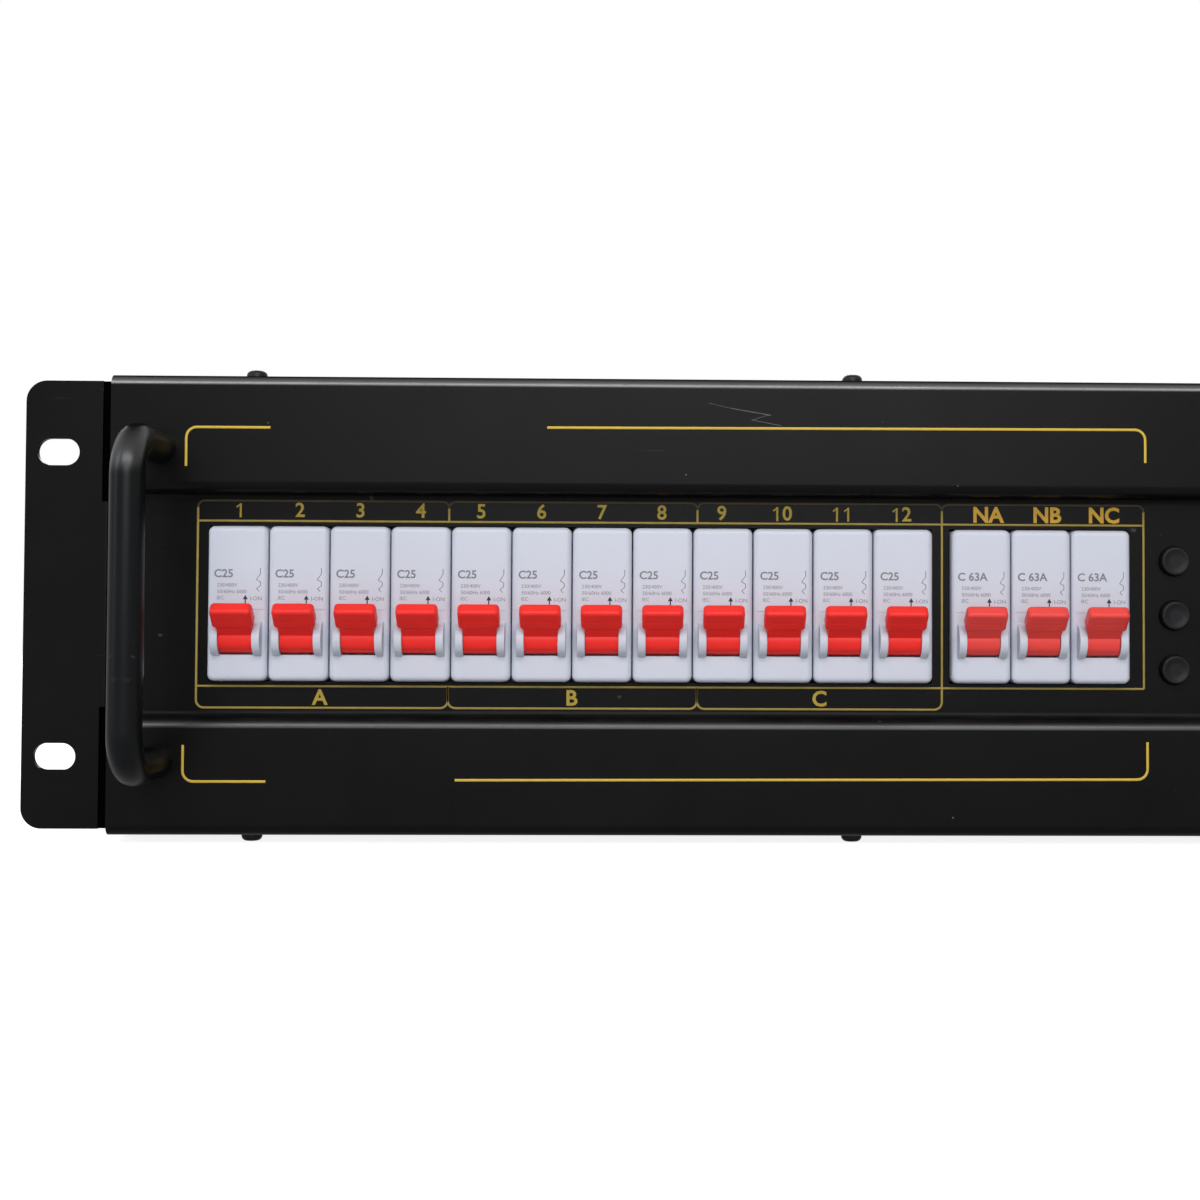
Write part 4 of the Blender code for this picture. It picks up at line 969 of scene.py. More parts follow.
@dataclass
class FrontPanel:
    """The folded sheet with its windows, edge screws and printed lines."""

    half_width: float = 214.2
    half_height: float = 66.0
    sheet: float = 1.5
    bend: float = 3.2
    band: float = -13.85
    plate: float = -3.6
    recess: float = 32.4
    rear: float = 11.0
    fit: float = 0.3
    pitch: float = 17.6
    rows: tuple[tuple[float, int], ...] = ((-187.5, 12), (29.1, 3))
    nose: Pair = (0.35, 22.5)
    screw_x: Triple = (-174.5, 0.0, 174.5)
    number_z: float = 27.6

    def sheet_metal(self) -> Piece:
        """Fold the sheet: one strip pulled out edge by edge, its folds rounded, then thickened.

        Returns:
            The folded sheet.
        """
        half = self.sheet / 2
        top, wall = self.half_height - half, self.recess + half
        front, plate = self.band + half, self.plate + half
        bpy.ops.mesh.primitive_plane_add(size=1, location=at(0, (self.rear + front) / 2, top))
        bpy.context.object.scale = (2 * self.half_width * MM, (self.rear - front) * MM, 1)
        panel = settle("folded_panel")
        upper = [(front, top), (front, wall), (plate, wall)]
        folds = upper + [(y, -z) for y, z in reversed(upper)]
        pick(panel, Pick.EDGES, lies_at(Axis.Y, at(0, front, 0).y))
        for (y, z), (next_y, next_z) in zip(folds, [*folds[1:], (self.rear, -top)]):
            pull(next_y - y, next_z - z)
        put_down()
        lines = [on_line(Axis.X, at(0, y, z)) for y, z in folds]
        round_edges(panel, lambda ends: any(line(ends) for line in lines), self.bend - half, 7)
        worked(panel, "SOLIDIFY", thickness=self.sheet * MM, offset=0, use_even_offset=True)
        return cleaned(panel, flatten=False)

    def opening(self, x: Pair, z: Pair, corner: float, steps: int) -> Piece:
        """Make a cutter through the plate, wider than its two spans by the fit.

        Args:
            x: Its span across; the fit is added at the left.
            z: Its span in height; the fit is added at both ends.
            corner: The rounding of its corners.
            steps: The number of the rounding's flats.

        Returns:
            The cutter.
        """
        low = at(x[0] - self.fit, self.plate - 1, z[0] - self.fit)
        high = at(x[1], self.plate + self.sheet + 1, z[1] + self.fit)
        return round_edges(block("opening", low, high), runs(Axis.Y), corner, steps)

    def windows(self) -> list[Piece]:
        """Make the cutters for everything that shows through the plate.

        Returns:
            The cutters.
        """
        controls = ControlGroup()
        middle, half = self.nose
        height = (middle - half, middle + half)
        tools = [self.opening((x, x + n * self.pitch), height, 0.6, 3) for x, n in self.rows]
        low_y, depth = self.plate - 1, self.sheet + 2
        for number in (1, 2, 3):
            start = centre(f"button_{number}")
            start.y = at(0, low_y, 0).y
            tools.append(rod("button_hole", start, depth, 4.5))
        for x in controls.lamp_x:
            tools.append(rod("lamp_hole", at(x, low_y, controls.lamp_z), depth, 1.8, 24))
        x, z = controls.display
        wide, tall = controls.window[0] / 2, controls.window[1] / 2
        span = (x - wide, x + wide + self.fit)
        return [*tools, self.opening(span, (z - tall, z + tall), 1.3, 4)]

    def screw(self) -> Piece:
        """Make one pan-head screw with a cross recess, upright on the rack frame's origin.

        Returns:
            The screw head.
        """
        head = rod("pan_head", at(0, 0, 0), 2.4, 3, 32, Axis.Z)
        round_edges(head, lies_at(Axis.Z, at(0, 0, 2.4).z), 1.5, 5)
        arms = [block("arm", at(-x, -y, 1.3), at(x, y, 3)) for x, y in ((1.7, 0.3), (0.3, 1.7))]
        return softened(cut(head, *arms), 0.05, 1)

    def screws(self) -> None:
        """Set the screws above and, turned over, below the panel."""
        pattern = self.screw()
        for index, x in enumerate(self.screw_x):
            upper = Matrix.Translation(Vector((x, -4, self.half_height)) * MM)
            lower = Matrix.Translation(at(x, -4, -self.half_height)) @ Matrix.Rotation(pi, 4, "X")
            moves = {"top": upper, "foot": lower @ Matrix.Translation(-at(0, 0, 0))}
            for row, move in moves.items():
                head = copied(pattern, f"panel_screw_{row}_{index + 1}", move)
                dress(head, BLACK_SCREW, "front_panel")
        bpy.data.objects.remove(pattern)

    def printed_lines(self) -> None:
        """Print the bands' lines, the plate's lines and the plate's top lines,
        whose gold is darkened as painted shadow under the upper band.
        """
        bright = [
            [(-168.6, 50.9), (-192.6, 50.9), (-192.6, 39.7)],
            [(-89.2, 51.4), (84.3, 51.9), (84.3, 42.3)],
            [(-168.9, -50.5), (-192.5, -50.5), (-192.5, -40.1)],
            [(-115.0, -50.0), (84.7, -49.4), (84.7, -38.6)],
        ]
        left, first, second, right, end = walls = (-191.3, -118.2, -45.4, 26.7, 86.5)
        top, under, below, foot = 30.4, 24.5, -23.7, -30.0
        # The top lines under the upper band are printed in a darker gold, as painted shadow.
        shadowed_top_lines = [
            [(x, top - 2), (x, top), (after, top), (after, top - 2)]
            for x, after in zip(walls, walls[1:])
        ]
        dull = [[(x, under if x in (first, second) else 0), (x, top - 2)] for x in walls]
        dull += [
            [(end, 0), (end, below)],
            [(end, below), (right, below)],
            [(left, 0), (left, foot), (first, foot), (first, below)],
            [(first, below), (first, foot), (second, foot), (second, below)],
            [(second, below), (second, foot), (right, foot), (right, 0)],
            [(left, under), (end, under)],
            [(left, below), (right, below)],
        ]
        dress(joined("band_print", inked(bright, self.band, 0.85, 3)), BAND_GOLD)
        dress(joined("plate_print", inked(dull, self.plate, 0.7, 2.2)), PLATE_GOLD)
        dress(joined("painted_shadow_print", inked(shadowed_top_lines, self.plate, 0.7, 1.9)), PAINTED_SHADOW_GOLD)

    def scratches(self) -> None:
        """Draw the fine scratches and chips that handling has left on the bands and the plate."""
        strokes = [
            (self.band, 0.09, [(-42.6, 58.8), (-36.0, 57.3)]),
            (self.band, 0.18, [(-36.0, 57.3), (-24.6, 55.4)]),
            (self.band, 0.1, [(-24.9, 55.6), (-30.3, 53.9)]),
            (self.band, 0.12, [(-30.1, 54.0), (-21.7, 52.4)]),
            (self.band, 0.3, [(-49.3, 38.0), (-48.9, 38.0)]),
            (self.band, 0.25, [(29.5, 35.3), (29.8, 35.2)]),
            (self.band, 0.3, [(28.0, -60.5), (28.4, -60.4)]),
            (self.band, 0.25, [(-169.4, 52.4), (-169.2, 52.1)]),
            (self.plate, 0.1, [(-206.9, 22.8), (-206.5, -21.0)]),
        ]
        marks = [mark for y, width, line in strokes for mark in inked([line], y, width)]
        dress(joined("handling_marks", marks), SCRATCH_GREY)

    def digit(self, shown: str, middle: Vector) -> list[Piece]:
        """Write one digit of a channel number; a one is drawn with its flag.

        Args:
            shown: The digit.
            middle: Its middle, on the plate.

        Returns:
            Its strokes.
        """
        if shown != "1":
            return [lettering(shown, 4.1, middle, 0.1)]
        stem = [middle + Vector((0.35, 0, z)) * MM for z in (-2.05, 2.05)]
        flag = [middle + Vector(place) * MM for place in ((0.35, 0, 1.8), (-0.85, 0, 0.95))]
        return [ink_line(stem, 0.68), ink_line(flag, 0.55)]

    def signs(self) -> None:
        """Write the channel numbers with the group letters, and the mains names."""
        signs = []
        for number in range(1, 13):
            digits = str(number)
            middle = -179.3 + 17.63 * (number - 1)
            for index, shown in enumerate(digits):
                x = middle + (index - (len(digits) - 1) / 2) * 3.3
                signs += self.digit(shown, at(x, self.plate, self.number_z - 0.03 * number))
        groups = (("A", -155.4), ("B", -82.1), ("C", -9.4))
        signs += [lettering(words, 4.4, at(x, self.plate, -27.1), 0.15) for words, x in groups]
        dress(joined("plate_numbers", signs), SIGN_GOLD)
        mains = (("NA", 40.3), ("NB", 57.8), ("NC", 74.7))
        names = [lettering(words, 4.4, at(x, self.plate, 27.2), 0.2) for words, x in mains]
        dress(joined("mains_names", names), MAINS_GOLD)

    def build(self) -> None:
        """Make and dress the panel, its screws and its print."""
        panel = softened(cut(self.sheet_metal(), *self.windows()), 0.18)
        dress(panel, BLACK_ENAMEL, "front_panel")
        self.screws()
        self.printed_lines()
        self.scratches()
        self.signs()


@dataclass
class BarHandle:
    """A round bar bent twice."""

    side: Side
    x: float = 200.4
    seat: float = -13.85
    bar: float = -46.45
    reach: float = 45.0
    radius: float = 4.8
    bend: float = 11.0

    def build(self) -> None:
        """Pull the bar out of a round face, spinning it through both bends."""
        name = self.side.name.lower()
        x = self.side.value * self.x
        bar = disc(f"bar_handle_{name}", at(x, self.seat, self.reach), self.radius, 40)
        straight = self.seat - self.bar - self.bend
        corner = self.reach - self.bend
        pick(bar, Pick.FACES, lambda corners: True)
        pull(-straight, 0)
        for z, run in ((corner, (0, -2 * corner)), (-corner, (straight, 0))):
            middle = at(x, self.bar + self.bend, z)
            bpy.ops.mesh.spin(steps=14, angle=-pi / 2, center=middle, axis=(1, 0, 0))
            pull(*run)
        put_down()
        smoothed(cleaned(bar, 0.001, flatten=False))
        dress(bar, BLACK_BAR, f"handle_{name}")


@dataclass
class BreakerSet:
    """The breakers with their levers and print, measured from the middle of each face."""

    face: float = -7.4
    rise: float = 0.35
    half_width: float = 8.65
    half_height: float = 22.5
    hinge: Pair = (1.0, -10.15)
    lever_on: float = 40.0
    channels: tuple[str, ...] = tuple(f"{number:02d}" for number in range(1, 13))
    mains: tuple[str, ...] = ("na", "nb", "nc")

    def on_face(self, x: float, y: float, z: float) -> Vector:
        """Turn millimetres from the face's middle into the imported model's metres, at x = 0."""
        return at(x, self.face + y, self.rise + z)

    def box_at(self, name: str, low: Triple, high: Triple) -> Piece:
        """Add a box between two corners given from the face's middle."""
        return block(name, self.on_face(*low), self.on_face(*high))

    def axle(self, name: str, half: float, radius: float, sides: int) -> Piece:
        """Add a round bar along the hinge, as far to the left as to the right."""
        return rod(name, self.on_face(-half, *self.hinge), 2 * half, radius, sides, Axis.X)

    def solids(self) -> list[Piece]:
        """Make what is joined to a housing's nose: body, back, claws and the lever's cheeks.

        Returns:
            The solids.
        """
        wide = self.half_width
        parts = [
            self.box_at("body", (-wide, 17.5, -40.5), (wide, 50, 40.5)),
            self.box_at("back", (-wide, 49, -26.3), (wide, 60.5, 26.3)),
        ]
        for side in (-1, 1):
            for name, near, y in (("claw", 17.8, 59.5), ("lip", 16.3, 62.1)):
                low, high = sorted((side * near, side * 26.3))
                parts.append(self.box_at(name, (-wide, y, low), (wide, 65.5, high)))
            start = self.on_face(min(side * 4.85, side * 7.2), *self.hinge)
            cheek = rod("cheek", start, 2.35, 5.2, 48, Axis.X)
            parts.append(round_edges(cheek, keeps(Axis.X), 0.35, 2))
        return parts

    def housing(self) -> Piece:
        """Mould one housing, then cut the lever's bay, its bores and the terminal holes.

        Returns:
            The housing, at x = 0.
        """
        wide, tall = self.half_width, self.half_height
        nose = self.box_at("nose", (-wide, 0, -tall), (wide, 18.5, tall))
        front = lies_at(Axis.Y, self.on_face(0, 0, 0).y)
        round_edges(nose, runs(Axis.Y, 10 * MM), 1.9, 6)
        round_edges(nose, front, 1.5, 6)
        fused(dished(nose, front, (0.2, 0)), *self.solids())
        tools = [self.axle("well", 5.15, 4.8, 48), self.axle("bore", 6.15, 1.35, 20)]
        tools.append(self.box_at("seam", (-9, -1, -1.85), (9, 0.2, -1.65)))
        for side in (-1, 1):
            edge = side * 40.5
            tools.append(rod("screw_hole", self.on_face(0, 16.5, edge - side * 6.5), 10, 2.8, 24))
            low, high = sorted((edge + side, edge - side * 11))
            tools.append(self.box_at("wire_entry", (-3.75, 27, low), (3.75, 33, high)))
        return shaded(cut(nose, *tools))

    def paddle(self) -> Piece:
        """Mould a lever's paddle, with a groove on each face.

        Returns:
            The paddle, not turned yet.
        """
        y, z = self.hinge
        paddle = self.box_at("paddle", (-5.95, y - 14.2, z - 2.2), (5.95, y - 6.9, z + 2.2))
        tip = self.on_face(0, y - 14.2, 0).y
        root = self.on_face(0, y - 6.9, 0).y
        middle = self.on_face(0, 0, z).z
        for vertex in paddle.data.vertices:
            if abs(vertex.co.y - tip) < SLACK:
                vertex.co.z = middle + (vertex.co.z - middle) * 3.8 / 4.4
        for depth, width, steps in ((tip, 1.3, 6), (root, 1.0, 3)):
            round_edges(paddle, both(lies_at(Axis.Y, depth), keeps(Axis.X)), width, steps)
        softened(paddle, 1.15, 6)
        for low in (z - 2.0 - 0.18, z + 2.0 - 0.18):
            cut(paddle, self.box_at("groove", (-4.4, y - 10.4, low), (4.4, y - 10.1, low + 0.36)))
        return paddle

    def lever(self) -> Piece:
        """Mould one lever: barrel, neck, paddle and hinge pins, turned to its ON place.

        Returns:
            The lever, at x = 0.
        """
        y, z = self.hinge
        barrel = self.axle("barrel", 4.85, 4.2, 56)
        neck = self.box_at("neck", (-4.85, y - 7.9, z - 1.9), (4.85, y, z + 1.9))
        softened(fused(barrel, neck, self.paddle(), self.axle("pins", 5.85, 1.2, 20)), 0.2)
        middle = self.on_face(0, y, z)
        turn = Matrix.Translation(middle) @ Matrix.Rotation(radians(-self.lever_on), 4, "X")
        barrel.data.transform(turn @ Matrix.Translation(-middle))
        return barrel

    def marks(self, rating: str, x: float) -> Piece:
        """Print one housing's rating, fine lines, switch symbol, arrow and ON mark.

        Args:
            rating: The rating to print.
            x: The rating's middle.

        Returns:
            The print, at x = 0.
        """
        words = [
            (rating, 2.3, x, 8.6, 0.07),
            ("230/400V", 1.05, -3.0, 5.3, 0.0),
            ("50/60Hz 6000", 1.05, -1.6, 3.4, 0.0),
            ("IEC", 1.05, -4.9, 1.6, 0.0),
            ("I-ON", 1.15, 5.4, 1.4, 0.0),
        ]
        grey = [lettering(sign, tall, self.on_face(x, 0, z), w) for sign, tall, x, z, w in words]
        places = (
            (6.6, 10.3), (6.6, 8.7), (5.4, 6.9), (6.6, 6.3), (6.6, 5.2), (5.5, 4.3), (6.3, 3.5),
        )
        path = [self.on_face(x, 0, z) for x, z in places]
        grey += [ink_line([start, end], 0.22) for start, end in zip(path, path[1:])]
        stem = [self.on_face(2.3, 0, z) for z in (1.4, -1.2)]
        dark = [disc("arrow", self.on_face(2.3, -0.02, 1.6), 0.85, 3), ink_line(stem, 0.35)]
        groups = [joined("marks", grey), joined("arrow", dark)]
        for group, look in zip(groups, (PRINT_GREY, PRINT_DARK)):
            wear(group, look)
        return joined("marks", groups)

    def build(self) -> None:
        """Make the patterns once and set a copy of each in every place."""
        housing = self.housing()
        lever = self.lever()
        sets = (
            ("C25", -4.0, self.channels, LEVER_RED, "lever_red"),
            ("C 63A", -4.0 + 1.3, self.mains, LEVER_CORAL, "lever_coral"),
        )
        for rating, x, tags, look, slot in sets:
            marks = self.marks(rating, x)
            for tag in tags:
                breaker = f"breaker_{tag}"
                move = Matrix.Translation((centre(breaker).x, 0, 0))
                shell = copied(housing, f"housing_{tag}", move)
                dress(shell, HOUSING_WHITE, breaker)
                toggle = copied(lever, f"toggle_{tag}", move)
                dress(toggle, look, f"lever_{tag}", f"lever_{tag}")
                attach(copied(marks, f"print_{tag}", move), STILL)
            bpy.data.objects.remove(marks)
        bpy.data.objects.remove(housing)
        bpy.data.objects.remove(lever)


@dataclass
class ControlGroup:
    """The buttons, display, lamps and the board that carries them."""

    lamp_x: tuple[float, ...] = (117.0, 129.0, 141.0, 153.0)
    lamp_z: float = -13.0
    display: Pair = (135.0, 9.0)
    window: Pair = (44.0, 18.0)
    digit: Pair = (6.2, 11.4)
    stroke: float = 1.3

    def button(self, node: str, name: str) -> None:
        """Turn one cap with a dished front and its collar behind the plate.

        Args:
            node: The CAD node that it stands for.
            name: The cap's name.
        """
        low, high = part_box(node)
        middle = centre(node)
        middle.y = low.y
        cap = rod(name, middle, (high.y - low.y) / MM, 4.2, 48)
        front = lies_at(Axis.Y, low.y)
        dished(cap, front, (0.9, 0), (0.5, -0.25), (1.2, -0.15))
        outside = 4.1 * MM
        rim = both(front, lambda ends: all((end - middle).length > outside for end in ends))
        round_edges(cap, rim, 0.5, 4)
        collar = rod("collar", Vector((middle.x, high.y - MM, middle.z)), 1, 5.6, 48)
        dress(softened(fused(cap, collar), 0.1, 1), BUTTON_BLACK, node, node)

    def segments(self, shown: str, x: float, z: float) -> tuple[list[Piece], list[Piece]]:
        """Lay out the seven bars of one digit.

        Args:
            shown: The bars that are lit, by their letters a to g.
            x: The digit's middle across.
            z: The digit's middle in height.

        Returns:
            The lit bars and the dark bars.
        """
        wide, tall = self.digit[0] / 2, self.digit[1] / 2
        half, level = self.stroke / 2, tall / 2
        flat, upright = (wide - 0.9, half), (half, level - 0.75)
        spans = {
            "a": (0, tall, *flat),
            "g": (0, 0, *flat),
            "d": (0, -tall, *flat),
            "f": (-wide, level, *upright),
            "b": (wide, level, *upright),
            "e": (-wide, -level, *upright),
            "c": (wide, -level, *upright),
        }
        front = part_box("display_module")[0].y
        lit, dark = [], []
        for letter, (dx, dz, half_x, half_z) in spans.items():
            low = at(x + dx - half_x, 0, z + dz - half_z)
            high = at(x + dx + half_x, 0, z + dz + half_z)
            low.y, high.y = front, front + 0.3 * MM
            bar = round_edges(block("bar", low, high), runs(Axis.Y, 0.1 * MM), 0.55, 1)
            for vertex in bar.data.vertices:
                vertex.co.x += (vertex.co.z - at(0, 0, z).z) * 0.12
            (lit if letter in shown else dark).append(bar)
        return lit, dark

    def screen(self) -> None:
        """Set the red filter, its digits and the body behind them."""
        glass = from_node("display_module", "display_filter", 0.25)
        dress(glass, FILTER_RED, "display_module")
        plate_rear = at(0, -2.1, 0).y
        two_tone(glass, MODULE_BLACK, lambda middle: middle.y > plate_rear)
        lit, dark = [], []
        x, z = self.display
        for place, shown in ((-14.0, ""), (-4.7, "abcdef"), (4.7, "bc"), (14.0, "abged")):
            on, off = self.segments(shown, x + place, z)
            lit += on
            dark += off
        rows = (("digits_lit", lit, SEGMENT_LIT), ("digits_dark", dark, SEGMENT_DARK))
        for name, bars, look in rows:
            piece = joined(name, bars)
            for vertex in piece.data.vertices:
                vertex.co.y -= LETTER_DEPTH
            dress(piece, look)

    def lenses(self) -> None:
        """Set a round-topped lens on each lamp of the board."""
        board = from_node("control_board", "controller_board", 0.1)
        dress(board, BOARD_GREEN, "control_board")
        front = at(0, 5.7, 0).y
        back = at(0, 7.7, 0).y
        two_tone(board, MODULE_BLACK, lambda middle: middle.y < front)
        two_tone(board, HEADER_CREAM, lambda middle: middle.y > back)
        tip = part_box("control_board")[0].y - 0.02 * MM
        looks = (LAMP_GREEN, LAMP_RED, LAMP_RED, LAMP_RED)
        for index, (x, look) in enumerate(zip(self.lamp_x, looks)):
            start = at(x, 0, self.lamp_z)
            start.y = tip
            lens = rod(f"lamp_lens_{index + 1}", start, 4, 1.62, 24)
            dress(smoothed(round_edges(lens, lies_at(Axis.Y, start.y), 1.3, 5)), look)

    def build(self) -> None:
        """Make the buttons, the display and the board."""
        for number in (1, 2, 3):
            self.button(f"button_{number}", f"push_cap_{number}")
        self.screen()
        self.lenses()


@dataclass
class RackEar:
    """A folded bracket with two oblong slots."""

    side: Side
    outer: float = 242.05
    leg: float = 214.3
    sheet: float = 2.0
    half_height: float = 65.4
    depth: float = 35.0
    bend: float = 4.5
    corner: float = 6.0
    chamfer: float = 8.0
    slot: Pair = (12.2, 7.8)
    slot_inset: float = 9.55
    slot_rows: float = 88.9
    gap: float = 219.7

    def across(self, name: str, near: float, far: float, y: Pair, z: Pair) -> Piece:
        """Add a box on this ear's side, between two distances from the middle."""
        left, right = sorted((self.side.value * near, self.side.value * far))
        return block(name, at(left, y[0], z[0]), at(right, y[1], z[1]))

    def folded(self) -> Piece:
        """Join flange and leg and round both folds and the tips.

        Returns:
            The ear without its slots.
        """
        tall = (-self.half_height, self.half_height)
        name = f"ear_{self.side.name.lower()}"
        ear = self.across(name, self.leg, self.outer, (-self.sheet, 0), tall)
        leg = self.across("leg", self.leg, self.leg + self.sheet, (-0.5, self.depth), tall)
        rear = both(lies_at(Axis.Y, at(0, self.depth, 0).y), keeps(Axis.Z))
        cleaned(fused(ear, round_edges(leg, rear, self.chamfer, 1)))
        outside = (self.leg, -self.sheet, self.bend, 10)
        inside = (self.leg + self.sheet, 0, self.bend - self.sheet, 8)
        for x, y, width, steps in (outside, inside):
            round_edges(ear, on_line(Axis.Z, at(self.side.value * x, y, 0)), width, steps)
        tip = lies_at(Axis.X, at(self.side.value * self.outer, 0, 0).x)
        return round_edges(ear, both(tip, runs(Axis.Y)), self.corner, 12)

    def build(self) -> None:
        """Fold the ear, then cut its slots and the grooves beside the bands.

        The faces in the grooves and behind them are painted near-black, as painted shade.
        """
        ear = self.folded()
        wide, high = self.slot[0] / 2, self.slot[1] / 2
        middle = self.outer - self.slot_inset
        for z in (-self.slot_rows / 2, self.slot_rows / 2):
            tool = self.across("slot", middle - wide, middle + wide, (-4, 2), (z - high, z + high))
            cut(ear, round_edges(tool, runs(Axis.Y), high - 0.01, 14))
        for low, high in ((30.0, 70.0), (-70.0, -30.0)):
            cut(ear, self.across("gap", 214.0, self.gap, (-4, -0.7), (low, high)))
        node = f"rack_ear_{self.side.name.lower()}"
        dress(softened(ear, 0.25), BLACK_ENAMEL, node)
        # The faces in the grooves beside the bands, and those behind them, take a near-black
        # painted shade.
        front = at(0, -1.9, 0).y
        edge = self.gap * MM
        two_tone(ear, PAINTED_GAP_SHADE, lambda middle: abs(middle.x) < edge and middle.y > front)


@dataclass(frozen=True)
class Carried:
    """One CAD node whose shape stays, its edges broken; it may have a second finish low down."""

    node: str
    name: str
    look: Finish
    slot: str
    edge: float = 0.25
    body: str = STILL
    low_look: Finish | None = None
    level: float = 0.0

    def build(self) -> None:
        """Copy the node and dress the copy."""
        piece = from_node(self.node, self.name, self.edge)
        dress(piece, self.look, self.node, self.body)
        if self.low_look:
            level = at(0, 0, self.level).z
            two_tone(piece, self.low_look, lambda middle: middle.z < level)


@dataclass
class CarriedSet:
    """A sub-assembly of nodes whose shapes stay."""

    pieces: tuple[Carried, ...]

    def build(self) -> None:
        """Make every piece."""
        for piece in self.pieces:
            piece.build()


SOLES = (0.2, STILL, BUTTON_BLACK, -64.35)
MODULE_PLATE = (0.25, STILL, ALUMINIUM, -8.8)
CHOKE_PLATE = (0.3, STILL, ZINC, -60.2)


@dataclass
class SheetCase(CarriedSet):
    """Tray and cover, and the rail and busbars inside."""

    pieces: tuple[Carried, ...] = (
        Carried("chassis_tray", "case_tray", CASE_ENAMEL, "black_enamel", *SOLES),
        Carried("top_cover", "case_cover", CASE_ENAMEL, "black_enamel", 0.2),
        Carried("din_rail", "module_rail", ZINC, "zinc", 0.1),
        *(Carried(f"busbar_{x}", f"comb_bar_{x}", COPPER, "copper", 0.15) for x in "abc"),
    )


@dataclass
class PowerSection(CarriedSet):
    """Heatsink, power modules, chokes and the mains block."""

    pieces: tuple[Carried, ...] = (
        Carried("heatsink", "cooling_block", ALUMINIUM, "aluminium", 0.2),
        *(
            Carried(f"{node}_{letter}", f"{name}_{letter}", *rest)
            for letter in "abc"
            for node, name, *rest in (
                ("power_module", "switch_module", MODULE_BLACK, "module_black", *MODULE_PLATE),
                ("choke_bank", "winding_bank", CHOKE_OCHRE, "choke_ochre", *CHOKE_PLATE),
            )
        ),
        Carried("mains_terminals", "mains_block", TERMINAL_GREY, "terminal_grey", 0.3),
    )


